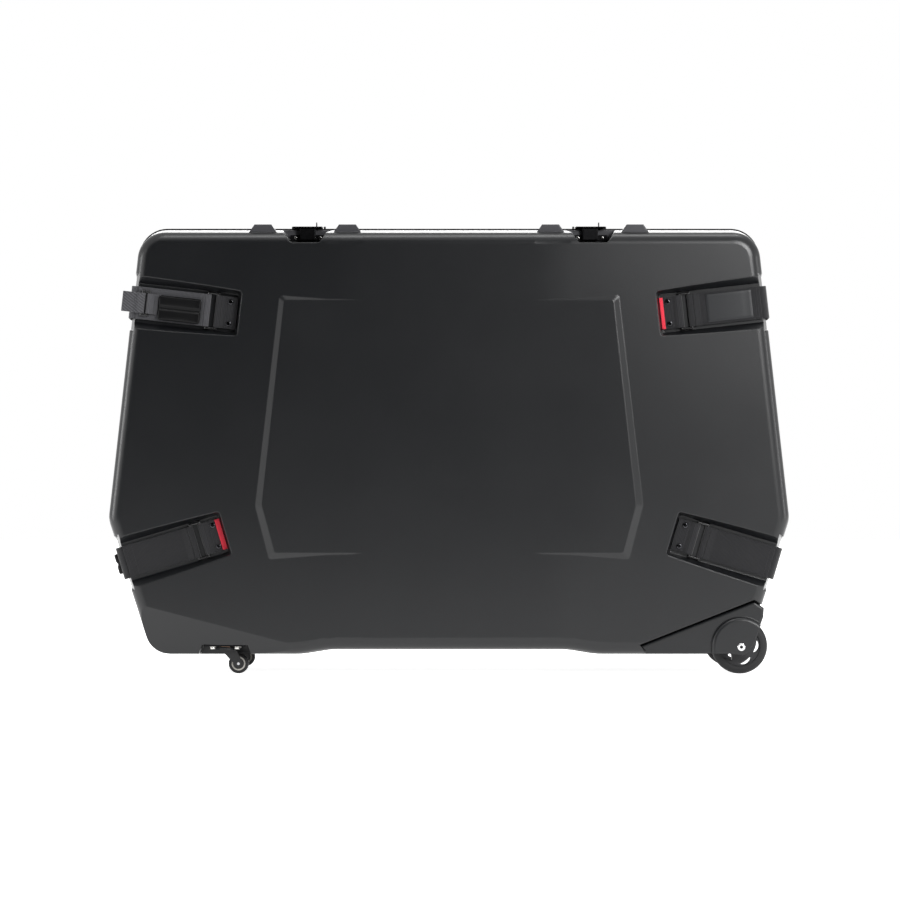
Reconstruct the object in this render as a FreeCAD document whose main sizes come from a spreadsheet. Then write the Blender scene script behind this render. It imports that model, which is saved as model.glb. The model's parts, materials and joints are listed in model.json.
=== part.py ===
import FreeCAD, Part
import math
import os
import Sketcher

# Bike travel case: two drafted shells that meet at the plane Y = 0, front half towards -Y, floor at Z = 0.
# Lengths are in millimetres and angles in degrees. A name ending in slope or share is a plain ratio.
SIZES = {
    # outline of the front edge, seen from the front
    "widest_half": 607.5,
    "widest_height": 277,
    "top_height": 788.5,
    "low_height": 38,
    "upper_side_slope": 0.1115,
    "lower_side_slope": 0.32,
    "ramp_outer": 268,
    "ramp_inner": 215,
    "ramp_rise": 8.5,
    "top_corner_radius": 50,
    "widest_corner_radius": 45,
    "low_corner_radius": 42,
    "ramp_radius": 150,
    # depth and wall
    "half_depth": 160,
    "rim_depth": 10,
    "side_draft_angle": 3.4,
    "top_draft_angle": 5.4,
    "low_draft_angle": 2.6,
    "wall": 3,
    "front_edge_radius": 22,
    "crown_half": 185,
    "crown_angle": 2.3,
    "crown_blend_radius": 1600,
    "cut_margin": 6,
    "outside_margin": 90,
    # raised middle panel
    "panel_top_drop": 104.5,
    "panel_top_half": 309,
    "panel_bend": 303,
    "panel_bend_half": 349,
    "panel_low": 202,
    "panel_low_half": 326,
    "panel_rise": 8,
    "panel_facet_angle": 63,
    "panel_corner_radius": 12,
    "panel_bend_radius": 60,
    # strap places on the sides and the recesses under the straps
    "upper_strap_drop": 122.5,
    "upper_strap_tilt": 6.4,
    "lower_strap_height": 199,
    "lower_strap_tilt": -16.5,
    "recess_length": 187,
    "recess_depth": 32,
    "recess_floor_half": 35,
    "recess_mouth_inner_half": 43,
    "recess_mouth_outer_half": 68,
    "recess_end_lean": 8,
    "recess_corner_radius": 6,
    "recess_past_side": 45,
    "channel_depth": 11,
    "channel_mouth_half": 54,
    "channel_floor_half": 42,
    # latch recesses and ribs along the top
    "latch_place": 257,
    "latch_recess_drop": 17.5,
    "latch_recess_low_half": 26,
    "latch_recess_top_half": 37,
    "latch_recess_wall": 16,
    "latch_recess_radius": 8,
    "rib_from_latch": 75.5,
    "rib_top_half": 15,
    "rib_base_half": 35,
    "rib_rise": 0.9,
    "rib_base_drop": 12.5,
    "rib_front_gap": 22,
    # sloped facet at the lower left
    "facet_outer_inset": 53.5,
    "facet_outer_z": 134,
    "facet_inner_inset": 297.5,
    "facet_inner_z": 49,
    "facet_angle": 25,
    "facet_drop": 11,
    "facet_depth": 60,
    # caster recess
    "caster_inset": 206.5,
    "caster_recess_half": 42,
    "caster_recess_lean": 5,
    "caster_recess_height": 53,
    "caster_recess_depth": 108,
    # wheel corner
    "notch_inner_inset": 267.5,
    "notch_inner_z": 54,
    "notch_outer_inset": 62.5,
    "notch_outer_z": 134,
    "notch_lip_inset": 41.5,
    "notch_lip_z": 121,
    "notch_foot_inset": 255.5,
    "notch_depth": 104,
    # rims, tongue, groove and seal at the parting plane
    "parting_gap": 0.3,
    "rim_lip": 1.5,
    "rim_width": 9,
    "tongue_inset": 3,
    "tongue_width": 2.5,
    "tongue_length": 3.6,
    "groove_clearance": 0.4,
    "groove_depth": 7,
    "seal_height": 2.6,
    # webbing, tabs and rings
    "web": 2.4,
    "web_half": 29,
    "soft_clearance": 0.2,
    "ring_wire": 4,
    "ring_inner": 153,
    "ring_outer": 131,
    "ring_half": 33.5,
    "ring_edge_radius": 1.7,
    "tab_start": 186,
    "tab_rise_start": 163,
    "tab_rise_end": 157,
    "tab_end": 146,
    "strap_stub": 4,
    "strap_side_gap": 1.6,
    "strap_corner_out": 6.5,
    "strap_bend_radius": 10,
    "flap_slope": 12,
    "flap_end": 6,
    "flap_gap": 0.3,
    "patch_start": 104,
    "patch_end": 22,
    "patch_half": 25,
    "patch_thickness": 1.4,
    "tag_width": 8,
    "tag_half": 28,
    "tag_thickness": 1,
    "carry_grip_start": 124,
    "carry_grip_end": 44,
    "carry_grip_half": 24,
    "carry_grip_shift": 4.5,
    "carry_grip_thickness": 13,
    "carry_grip_valley": 6,
    "carry_web": 2.2,
    "carry_web_half": 18,
    "carry_ring_inner": 30,
    "carry_ring_outer": 14,
    "carry_ring_half": 23,
    "carry_ring_wire": 4,
    "carry_rise": 6,
    "carry_tail_reach": 20,
    "side_grip_near": 12,
    "side_grip_far_gap": 18.6,
    "side_grip_half": 20,
    "side_grip_thickness": 16,
    "side_grip_valley": 11,
    "anchor_length": 42,
    "anchor_start": 184,
    # screws, rivets and the plates behind them
    "screw_radius": 2.5,
    "screw_head_radius": 5,
    "screw_head_height": 2.4,
    "screw_clearance": 0.05,
    "screw_place": 172.5,
    "screw_spread": 19.5,
    "plate_half_across": 14,
    "plate_half_up": 28,
    "plate_thickness": 2.5,
    "drill_length": 12,
    "rivet_radius": 1.6,
    "rivet_head_radius": 3,
    "rivet_head_height": 1.4,
    "rivet_place": 22,
    # latches
    "latch_plate_half": 31,
    "latch_plate_rise": 12,
    "latch_plate_height": 10,
    "latch_plate_thickness": 2.5,
    "keeper_half": 14,
    "keeper_depth": 15,
    "keeper_clearance": 0.3,
    "keeper_edge_radius": 1.5,
    "lug_thickness": 3.5,
    "lug_radius": 4.5,
    "lever_half": 26.5,
    "lever_clearance": 0.6,
    "lever_thickness": 2,
    "lever_pin_y": 22,
    "lever_barrel_radius": 3.4,
    "lever_reach": 33,
    "lever_pin_radius": 1.5,
    "lever_pin_clearance": 0.05,
    "eye_place": 15,
    "eye_thickness": 1.6,
    "eye_height": 8,
    "eye_near": 6,
    "eye_far": 22,
    "eye_hole_radius": 2.6,
    # wheel and its housing
    "wheel_inset": 86,
    "wheel_inset_depth": 55,
    "wheel_radius": 50,
    "tyre_inner_radius": 36.5,
    "tyre_width": 26,
    "tyre_edge_radius": 9,
    "core_width": 20,
    "seat_clearance": 0.05,
    "window_centre": 26.5,
    "window_half": 12.5,
    "window_outer_radius": 13.5,
    "window_inner_radius": 17,
    "bearing_radius": 11,
    "bearing_width": 7,
    "axle_radius": 4,
    "axle_clearance": 0.05,
    "axle_head_radius": 7,
    "axle_head_height": 3,
    "wheel_slot_radius": 56,
    "wheel_slot_width": 32,
    "housing_gap": 2.5,
    "housing_drop": 11,
    "housing_right_out": 41.5,
    "housing_right_z": 119,
    "housing_side_out": 40.5,
    "housing_side_z": 103,
    "housing_waist_out": 25.5,
    "housing_waist_z": 62,
    "housing_boss_out": 15.5,
    "housing_boss_z": 42,
    "housing_toe_out": 2.5,
    "housing_toe_z": 35,
    "housing_low_in": 18.5,
    "housing_edge_radius": 4,
    "cheek_radius": 53,
    "cheek_rise": 8,
    "cheek_edge_radius": 7,
    # caster
    "caster_inset_depth": 60,
    "caster_plate_half": 37,
    "caster_plate_half_depth": 32,
    "caster_plate_thickness": 3,
    "race_radius": 15,
    "race_height": 2.2,
    "kingpin_radius": 4,
    "kingpin_head_radius": 7,
    "kingpin_head_height": 2,
    "fork_clearance": 0.3,
    "fork_crown_radius": 19,
    "fork_crown_height": 5,
    "caster_trail": 23,
    "caster_wheel_radius": 18,
    "caster_wheel_width": 15,
    "caster_tyre_inner_radius": 12.5,
    "caster_tyre_edge_radius": 4,
    "caster_hub_bore": 2.55,
    "caster_axle_radius": 2.5,
    "caster_axle_overhang": 1.5,
    "fork_arm": 3,
    "fork_gap": 1,
    "fork_foot_half": 8,
    "fork_shoulder_gap": 2,
    # inside
    "mat_side_gap": 259.5,
    "mat_low_gap": 40,
    "mat_top_gap": 46.5,
    "mat_inset": 10,
    "mat_thickness": 12,
    "tie_place": 180,
    "tie_half": 19,
    "tie_thickness": 2,
    "tie_end": 20,
    "tie_buckle_half": 24,
    "tie_buckle_rise": 10,
    "tie_buckle_height": 50,
    "tie_buckle_thickness": 8,
    "tie_buckle_radius": 3,
}

document = FreeCAD.newDocument("bike_travel_case")
sheet = document.addObject("Spreadsheet::Sheet", "Sizes")
for row, (alias, number) in enumerate(SIZES.items(), start=1):
    cell = "A%d" % row
    sheet.set(cell, str(number))
    sheet.setAlias(cell, alias)
document.recompute()


class Size:
    """A number kept together with the sheet formula it comes from."""

    def __init__(self, formula, value):
        self.formula = formula
        self.value = value

    def joined(self, sign, other, value):
        return Size("(%s %s %s)" % (self.formula, sign, other.formula), value)

    def __add__(self, other):
        other = as_size(other)
        return self.joined("+", other, self.value + other.value)

    def __sub__(self, other):
        other = as_size(other)
        return self.joined("-", other, self.value - other.value)

    def __mul__(self, other):
        other = as_size(other)
        return self.joined("*", other, self.value * other.value)

    def __truediv__(self, other):
        other = as_size(other)
        return self.joined("/", other, self.value / other.value)

    def __rsub__(self, other):
        return as_size(other) - self

    def __rtruediv__(self, other):
        return as_size(other) / self

    def __neg__(self):
        return Size("(0 - %s)" % self.formula, -self.value)

    __radd__ = __add__
    __rmul__ = __mul__


def as_size(number):
    if isinstance(number, Size):
        return number
    return Size(repr(number), number)


def cosine(angle):
    return Size("cos(%s)" % angle.formula, math.cos(math.radians(angle.value)))


def sine(angle):
    return Size("sin(%s)" % angle.formula, math.sin(math.radians(angle.value)))


def tangent(angle):
    return Size("tan(%s)" % angle.formula, math.tan(math.radians(angle.value)))


def length_of(across, up):
    return Size("sqrt(%s)" % (across * across + up * up).formula, math.hypot(across.value, up.value))


class Names:
    """Each driving dimension under its own name."""


d = Names()
for alias, number in SIZES.items():
    setattr(d, alias, Size("Sizes." + alias, number))
ZERO = as_size(0)
HALF_SHARE = 0.5
MOSTLY_SHARE = 0.9
CREASE_SHARE = 0.8
DOME_SHARE = 0.8
TOUCH = 0.001
WINDOW_COUNT = 5
FULL_TURN = 360


def drafted(angle):
    """How far a leaning wall stands out at the parting plane."""
    return d.half_depth * tangent(angle)


# heights along the top
top_edge = d.top_height + drafted(d.top_draft_angle)
rim_top = top_edge + d.rim_lip
rib_top = top_edge + d.rib_rise
rib_base = d.top_height - d.rib_base_drop
latch_recess_low = d.top_height - d.latch_recess_drop
latch_plate_low = latch_recess_low + d.latch_plate_rise
latch_plate_high = latch_plate_low + d.latch_plate_height
rivet_height = latch_plate_low + d.latch_plate_height / 2
keeper_top = rim_top - d.keeper_clearance
lever_low = rim_top + d.lever_clearance
lever_pin_z = lever_low + d.lever_thickness / 2
pin_centre = (d.lever_pin_y, lever_pin_z)
upper_strap_height = d.top_height - d.upper_strap_drop
panel_top = d.top_height - d.panel_top_drop
# distances from the parting plane
recess_floor = d.half_depth - d.recess_depth
facet_level = d.half_depth - d.facet_drop
facet_back = d.half_depth - d.facet_depth
rib_length = d.half_depth - d.rim_depth - d.rib_front_gap
notch_back = d.half_depth - d.notch_depth
wheel_depth = d.half_depth - d.wheel_inset_depth
housing_face = d.half_depth - d.housing_drop
caster_depth = d.half_depth - d.caster_inset_depth
caster_recess_back = d.half_depth - d.caster_recess_depth
mat_face = d.half_depth - d.mat_inset
# places along the case
facet_outer_x = d.widest_half - d.facet_outer_inset
facet_inner_x = d.widest_half - d.facet_inner_inset
notch_inner_x = d.widest_half - d.notch_inner_inset
notch_outer_x = d.widest_half - d.notch_outer_inset
notch_lip_x = d.widest_half - d.notch_lip_inset
notch_foot_x = d.widest_half - d.notch_foot_inset
wheel_place = d.widest_half - d.wheel_inset
wheel_centre = (wheel_place, d.wheel_radius)
caster_x = d.caster_inset - d.widest_half
caster_wheel_x = caster_x + d.caster_trail
caster_wheel_centre = (caster_wheel_x, d.caster_wheel_radius)
mat_half = d.widest_half - d.mat_side_gap
mat_low = d.low_height + d.mat_low_gap
mat_high = d.top_height - d.mat_top_gap
tie_buckle_low = (mat_low + mat_high) / 2 + d.tie_buckle_rise
tie_buckle_high = tie_buckle_low + d.tie_buckle_height
# the wheel housing's outline, from the wheel's centre
housing_right_x = wheel_place + d.housing_right_out
housing_side_x = wheel_place + d.housing_side_out
housing_waist_x = wheel_place + d.housing_waist_out
housing_boss_x = wheel_place + d.housing_boss_out
housing_toe_x = wheel_place + d.housing_toe_out
housing_low_x = wheel_place - d.housing_low_in
# the caster's levels, downwards
caster_roof = d.caster_recess_height - d.caster_plate_thickness
race_low = caster_roof - d.race_height
crown_high = race_low - d.fork_clearance
crown_low = crown_high - d.fork_crown_height
pin_low = crown_low - d.fork_clearance
# heights of the webbing layers above the middle plane, outermost last
strap_under = recess_floor + d.soft_clearance
strap_over = strap_under + d.web
ring_under = strap_over + d.soft_clearance
ring_over = ring_under + d.ring_wire
fold_under = ring_over + d.soft_clearance
fold_over = fold_under + d.web
flap_under = strap_over + d.flap_gap
flap_over = flap_under + d.web
tab_over = recess_floor + d.web * 2
# the strap's side run and its fold round the ring, outwards along the strap
strap_side_in = drafted(d.side_draft_angle) + d.rim_lip + d.strap_side_gap
strap_side_out = strap_side_in + d.web
strap_corner_in = d.strap_corner_out - d.web
bar_in = -d.ring_outer - d.ring_wire
fold_in = bar_in - d.soft_clearance
stub_end = -d.ring_outer + d.strap_stub
flap_start = stub_end + d.flap_gap
flap_flat = flap_start + d.flap_slope
side_grip_far = strap_over - d.side_grip_far_gap
# layers of the carry strap, on top of the flap
carry_under = flap_over + d.soft_clearance
carry_ring_under = carry_under + d.carry_web + d.soft_clearance
carry_ring_over = carry_ring_under + d.carry_ring_wire
carry_over = carry_ring_over + d.soft_clearance + d.carry_web


def bind(thing, prop, size):
    thing.setExpression(prop, as_size(size).formula)


def new_body(name):
    return document.addObject("PartDesign::Body", name)


def plane_of(body, role):
    return [feature for feature in body.Origin.OriginFeatures if feature.Role == role][0]


def new_sketch(body, name, at, role):
    """An empty sketch on an origin plane of the body, moved along the plane's normal by at."""
    sketch = body.newObject("Sketcher::SketchObject", name)
    sketch.AttachmentSupport = (plane_of(body, role), [""])
    sketch.MapMode = "FlatFace"
    bind(sketch, "AttachmentOffset.Base.z", at)
    return sketch


def pin_point(sketch, line, end, point):
    """Hold one point of a sketch curve at a place whose two distances follow the sheet."""
    for kind, size in zip(("DistanceX", "DistanceY"), point):
        index = sketch.addConstraint(Sketcher.Constraint(kind, -1, 1, line, end, as_size(size).value))
        bind(sketch, "Constraints[%d]" % index, size)


def hold_radius(sketch, curve, radius):
    index = sketch.addConstraint(Sketcher.Constraint("Radius", curve, radius.value))
    bind(sketch, "Constraints[%d]" % index, radius)


def arc_between(start, end, radius, turn):
    """An arc from start to end, turning left where turn is 1 and right where it is -1."""
    chord = end - start
    middle = (start + end) * HALF_SHARE
    away = math.sqrt(max(radius * radius - chord.Length * chord.Length * HALF_SHARE * HALF_SHARE, 0))
    left = FreeCAD.Vector(-chord.y, chord.x, 0).normalize()
    centre = middle + left * (away * turn)
    first, last = (start, end) if turn > 0 else (end, start)
    angles = [math.atan2(point.y - centre.y, point.x - centre.x) for point in (first, last)]
    return Part.ArcOfCircle(Part.Circle(centre, FreeCAD.Vector(0, 0, 1), radius), *angles)


def polygons(body, name, loops, at=ZERO, role="XZ_Plane"):
    """A sketch of closed loops; on XZ_Plane at is the distance towards the front.

    A corner is (across, up), or (across, up, radius, turn) where an arc leads to the next corner.
    """
    sketch = new_sketch(body, name, at, role)
    for loop in loops:
        corners = [FreeCAD.Vector(as_size(corner[0]).value, as_size(corner[1]).value, 0) for corner in loop]
        starts, finishes = [], []
        for step, corner in enumerate(loop):
            following = corners[(step + 1) % len(loop)]
            if len(corner) > 2:
                arc = arc_between(corners[step], following, corner[2].value, corner[3])
                curve = sketch.addGeometry(arc, False)
                hold_radius(sketch, curve, corner[2])
                starts.append((curve, 1 if corner[3] > 0 else 2))
                finishes.append((curve, 2 if corner[3] > 0 else 1))
            else:
                curve = sketch.addGeometry(Part.LineSegment(corners[step], following), False)
                starts.append((curve, 1))
                finishes.append((curve, 2))
        for step, corner in enumerate(loop):
            met = starts[(step + 1) % len(loop)]
            sketch.addConstraint(Sketcher.Constraint("Coincident", *finishes[step], *met))
        for step, corner in enumerate(loop):
            pin_point(sketch, *starts[step], corner[:2])
    return sketch


def rectangle(left, low, right, high):
    return [(left, low), (right, low), (right, high), (left, high)]


def circles(body, name, rounds, at=ZERO, role="XZ_Plane"):
    """A sketch of circles given as (across, up, radius)."""
    sketch = new_sketch(body, name, at, role)
    for across, up, radius in rounds:
        centre = FreeCAD.Vector(as_size(across).value, as_size(up).value, 0)
        index = sketch.addGeometry(Part.Circle(centre, FreeCAD.Vector(0, 0, 1), radius.value), False)
        pin_point(sketch, index, 3, (across, up))
        hold_radius(sketch, index, radius)
    return sketch


def extrude(body, kind, name, sketch, length, flip):
    """A Pad or Pocket of the sketch."""
    feature = body.newObject("PartDesign::" + kind, name)
    feature.Profile = sketch
    bind(feature, "Length", length)
    feature.Reversed = flip
    document.recompute()
    return feature


def pad(body, name, sketch, length, flip=False):
    return extrude(body, "Pad", name, sketch, length, flip)


def pocket(body, name, sketch, length, flip=False):
    return extrude(body, "Pocket", name, sketch, length, flip)


def loft(body, kind, name, near_sketch, far_sketch):
    """An AdditiveLoft or SubtractiveLoft with straight sides between two sketches."""
    feature = body.newObject("PartDesign::" + kind, name)
    feature.Profile = near_sketch
    feature.Sections = [far_sketch]
    feature.Ruled = True
    document.recompute()
    return feature


def fillet(body, name, radius, wanted):
    """Round the edges of the body so far that the test picks out."""
    base = body.Tip
    picked = ["Edge%d" % number for number, edge in enumerate(base.Shape.Edges, start=1) if wanted(edge)]
    if not picked:
        raise RuntimeError("no edges found for " + name)
    feature = body.newObject("PartDesign::Fillet", name)
    feature.Base = (base, picked)
    bind(feature, "Radius", radius)
    document.recompute()
    return feature


def ends(edge):
    return edge.Vertexes[0].Point, edge.Vertexes[-1].Point


def runs_along(edge, axis):
    """True where the edge is straight and runs mostly along the axis (0, 1 or 2 for X, Y or Z)."""
    start, end = ends(edge)
    return abs(end[axis] - start[axis]) > MOSTLY_SHARE * edge.Length


def is_circle(edge, radius):
    return edge.Curve.TypeId == "Part::GeomCircle" and abs(edge.Curve.Radius - radius.value) < TOUCH


def outline(side_grow, top_grow, low_grow):
    """Corners of the case seen from the front, with its sides, top and bottom moved outwards."""
    widest = d.widest_half + side_grow
    top = d.top_height + top_grow
    low = d.low_height - low_grow
    top_half = widest - d.upper_side_slope * (top - d.widest_height)
    low_half = widest - d.lower_side_slope * (d.widest_height - low)
    right = [(d.ramp_inner, low + d.ramp_rise), (d.ramp_outer, low), (low_half, low),
             (widest, d.widest_height), (top_half, top)]
    return right + [(-across, up) for across, up in reversed(right)]


def front_to_back_near(places, slack):
    """Test for edges that run from front to back close to some places of the front view."""
    spots = [(across.value, up.value) for across, up in places]

    def near(edge):
        middle = edge.CenterOfMass
        return runs_along(edge, 1) and any(math.hypot(middle.x - across, middle.z - up) < slack.value
                                           for across, up in spots)

    return near


def round_corners(body, name, loop, grow, slack):
    """Round the corners of a drawn outline along the edges that run from front to back near them."""
    groups = (("top", d.top_corner_radius + grow, loop[4:6]),
              ("wide", d.widest_corner_radius + grow, (loop[3], loop[6])),
              ("low", d.low_corner_radius + grow, (loop[2], loop[7])),
              ("ramp", d.ramp_radius + grow, loop[0:2] + loop[8:10]))
    for group, radius, corners in groups:
        fillet(body, "%s_%s_corners" % (name, group), radius, front_to_back_near(corners, slack))


def strap_places():
    """The four straps as (name, side, half, height, tilt), each crossing the outline of the face."""
    upper_half = d.widest_half - d.upper_side_slope * (upper_strap_height - d.widest_height)
    lower_half = d.widest_half - d.lower_side_slope * (d.widest_height - d.lower_strap_height)
    levels = (("upper", upper_half, upper_strap_height, d.upper_strap_tilt),
              ("lower", lower_half, d.lower_strap_height, d.lower_strap_tilt))
    return [("%s_%s" % (level, hand), side, half, height, tilt)
            for level, half, height, tilt in levels for hand, side in (("left", -1), ("right", 1))]


def along_strap(place, out, up):
    """A point in the front view, given outwards along a strap and across it."""
    name, side, half, height, tilt = place
    across = half + out * cosine(tilt) - up * sine(tilt)
    return side * across, height + out * sine(tilt) + up * cosine(tilt)


def cut_between(body, name, near_at, near_points, far_at, far_points):
    """Cut away the space between two outlines at two distances towards the front."""
    near_sketch = polygons(body, name + "_near", [near_points], near_at)
    far_sketch = polygons(body, name + "_far", [far_points], far_at)
    return loft(body, "SubtractiveLoft", name, near_sketch, far_sketch)


def carve(body, name, grow):
    """Cut the strap, latch, caster and wheel recesses, all grown by a wall for the inside."""
    mouth = d.half_depth + d.cut_margin
    beyond = d.recess_past_side
    for place in strap_places():
        inner = -d.recess_length - grow
        leaned = inner - d.recess_end_lean
        floor_half = d.recess_floor_half + grow
        inner_half = d.recess_mouth_inner_half + grow
        outer_half = d.recess_mouth_outer_half + grow
        floor = [(inner, -floor_half), (beyond, -floor_half), (beyond, floor_half), (inner, floor_half)]
        face = [(leaned, -inner_half), (beyond, -outer_half), (beyond, outer_half), (leaned, inner_half)]
        cut_between(body, "%s_%s_recess" % (name, place[0]),
                    recess_floor - grow, [along_strap(place, *point) for point in floor],
                    mouth, [along_strap(place, *point) for point in face])
        middle = (inner + leaned) / 2
        middle_half = (floor_half + inner_half) / 2
        corners = [along_strap(place, middle, -middle_half), along_strap(place, middle, middle_half)]
        fillet(body, "%s_%s_recess_corners" % (name, place[0]), d.recess_corner_radius + grow,
               front_to_back_near(corners, d.recess_end_lean))
        sunk = -d.channel_depth - grow
        level = drafted(d.side_draft_angle) - grow + d.cut_margin
        mouth_half = d.channel_mouth_half + grow
        end_half = d.channel_floor_half + grow
        front = [(sunk, -mouth_half), (beyond, -mouth_half), (beyond, mouth_half), (sunk, mouth_half)]
        back = [(level, -end_half), (beyond, -end_half), (beyond, end_half), (level, end_half)]
        cut_between(body, "%s_%s_channel" % (name, place[0]),
                    ZERO, [along_strap(place, *point) for point in back],
                    mouth, [along_strap(place, *point) for point in front])
    carve_latches(body, name, grow)
    carve_caster(body, name, grow)
    carve_wheel_corner(body, name, grow)
    carve_facet(body, name, grow)


def carve_latches(body, name, grow):
    above = d.top_height + d.outside_margin
    rise = (above - latch_recess_low) / (d.top_height - latch_recess_low)
    low_half = d.latch_recess_low_half + grow
    high_half = low_half + (d.latch_recess_top_half - d.latch_recess_low_half) * rise
    floor = latch_recess_low - grow
    loops = []
    for side in (-1, 1):
        middle = side * d.latch_place
        loops.append([(middle - low_half, floor), (middle + low_half, floor),
                      (middle + high_half, above), (middle - high_half, above)])
    sketch = polygons(body, name + "_latch_outline", loops, d.latch_recess_wall - grow)
    pocket(body, name + "_latch_recess", sketch, d.half_depth + d.outside_margin, True)
    corners = [point for loop in loops for point in loop[:2]]
    fillet(body, name + "_latch_recess_corners", d.latch_recess_radius + grow,
           front_to_back_near(corners, d.wall))


def carve_caster(body, name, grow):
    low_half = d.caster_recess_half + d.caster_recess_lean + grow
    high_half = d.caster_recess_half + grow
    middle = caster_x
    below = d.low_height - d.outside_margin
    loop = [(middle - low_half, below), (middle + low_half, below), (middle + low_half, d.low_height),
            (middle + high_half, d.caster_recess_height + grow),
            (middle - high_half, d.caster_recess_height + grow), (middle - low_half, d.low_height)]
    sketch = polygons(body, name + "_caster_outline", [loop], caster_recess_back - grow)
    pocket(body, name + "_caster_recess", sketch, d.half_depth + d.outside_margin, True)


def notch_loop(grow):
    """Front view of the corner given over to the wheel housing, open to the bottom and the right."""
    below = d.low_height - d.outside_margin
    beyond = notch_lip_x + d.outside_margin
    fall = (d.notch_outer_z - d.notch_lip_z) / (notch_lip_x - notch_outer_x)
    lip_end = d.notch_lip_z - fall * d.outside_margin
    return [(notch_inner_x - grow, d.notch_inner_z + grow), (notch_foot_x - grow, d.low_height),
            (notch_foot_x - grow, below), (beyond, below), (beyond, lip_end + grow),
            (notch_outer_x, d.notch_outer_z + grow)]


def carve_wheel_corner(body, name, grow):
    sketch = polygons(body, name + "_wheel_outline", [notch_loop(grow)], notch_back - grow)
    pocket(body, name + "_wheel_recess", sketch, d.half_depth + d.outside_margin, True)


def carve_facet(body, name, grow):
    """Slope the face away below the crease at the lower left."""
    across = facet_outer_x - facet_inner_x
    up = d.facet_outer_z - d.facet_inner_z
    run = length_of(across, up)
    out_x, out_z = up / run, -across / run
    steep = 1 / tangent(d.facet_angle)

    def crease(at):
        shift = (facet_level - at) * steep - grow / sine(d.facet_angle)
        far = shift + d.outside_margin + d.half_depth
        extra_x, extra_z = across * CREASE_SHARE, up * CREASE_SHARE
        low_end = (facet_inner_x - extra_x, d.facet_inner_z - extra_z)
        high_end = (facet_outer_x + extra_x, d.facet_outer_z + extra_z)
        near = [(low_end[0] + shift * out_x, low_end[1] + shift * out_z),
                (high_end[0] + shift * out_x, high_end[1] + shift * out_z)]
        away = [(high_end[0] + far * out_x, high_end[1] + far * out_z),
                (low_end[0] + far * out_x, low_end[1] + far * out_z)]
        return [(-x, z) for x, z in near + away]

    cut_between(body, name + "_facet", facet_back, crease(facet_back),
                d.half_depth + d.cut_margin, crease(d.half_depth + d.cut_margin))


def draft_faces(body, name, angle, wanted):
    """Lean the faces that the test picks out, so that they close in towards the front."""
    base = body.Tip
    picked = ["Face%d" % number for number, face in enumerate(base.Shape.Faces, start=1) if wanted(face)]
    feature = body.newObject("PartDesign::Draft", name)
    feature.Base = (base, picked)
    feature.NeutralPlane = (plane_of(body, "XZ_Plane"), [""])
    feature.Angle = angle.value
    bind(feature, "Angle", angle)
    # the origin plane has a shape only after the first of these
    document.recompute()
    document.recompute()
    return feature


def rim_outline(grow):
    """The outline where the halves meet, moved outwards by grow."""
    return outline(drafted(d.side_draft_angle) + grow, drafted(d.top_draft_angle) + grow,
                   drafted(d.low_draft_angle) + grow)


def shell_form(name, grow):
    """The filled form of the front half: its outside, or the space inside it with grow as the wall."""
    body = new_body(name)
    loop = rim_outline(-grow)
    base = polygons(body, name + "_base", [loop])
    pad(body, name + "_block", base, d.half_depth - grow)
    draft_faces(body, name + "_side_draft", d.side_draft_angle,
                lambda face: abs(face.normalAt(0, 0).x) > HALF_SHARE)
    draft_faces(body, name + "_top_draft", d.top_draft_angle,
                lambda face: face.normalAt(0, 0).z > HALF_SHARE)
    draft_faces(body, name + "_low_draft", d.low_draft_angle,
                lambda face: face.normalAt(0, 0).z < -HALF_SHARE)
    round_corners(body, name, loop, -grow, d.front_edge_radius)
    crown(body, name, grow)
    front_edge(body, name, d.front_edge_radius - grow, grow)
    return body


def crown(body, name, grow):
    """Let the face fall away towards both ends, with a soft change of slope."""
    flat = -(d.half_depth - grow)
    end = d.widest_half + d.outside_margin
    fall = (end - d.crown_half) * tangent(d.crown_angle)
    ahead = -(d.half_depth + d.outside_margin)
    run = d.crown_blend_radius * tangent(d.crown_angle / 2)
    soft_start = d.crown_half - run
    soft_end = d.crown_half + run * cosine(d.crown_angle)
    soft_fall = flat + run * sine(d.crown_angle)
    loop = [(-end, ahead), (end, ahead), (end, flat + fall),
            (soft_end, soft_fall, d.crown_blend_radius, 1), (soft_start, flat),
            (-soft_start, flat, d.crown_blend_radius, 1), (-soft_end, soft_fall), (-end, flat + fall)]
    sketch = polygons(body, name + "_crown_outline", [loop], ZERO, "XY_Plane")
    pocket(body, name + "_crown", sketch, d.top_height + d.outside_margin, True)


def front_edge(body, name, radius, grow):
    """Round the whole edge of the face."""
    crown_end = (d.crown_half * 2).value
    lowest = d.half_depth - grow - (d.widest_half - d.crown_half) * tangent(d.crown_angle)
    front = d.wall.value - lowest.value

    def on_edge(edge):
        start, end = ends(edge)
        if max(start.y, end.y) > front:
            return False
        return not (runs_along(edge, 2) and abs(edge.CenterOfMass.x) < crown_end)

    fillet(body, name + "_front_edge", radius, on_edge)


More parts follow.
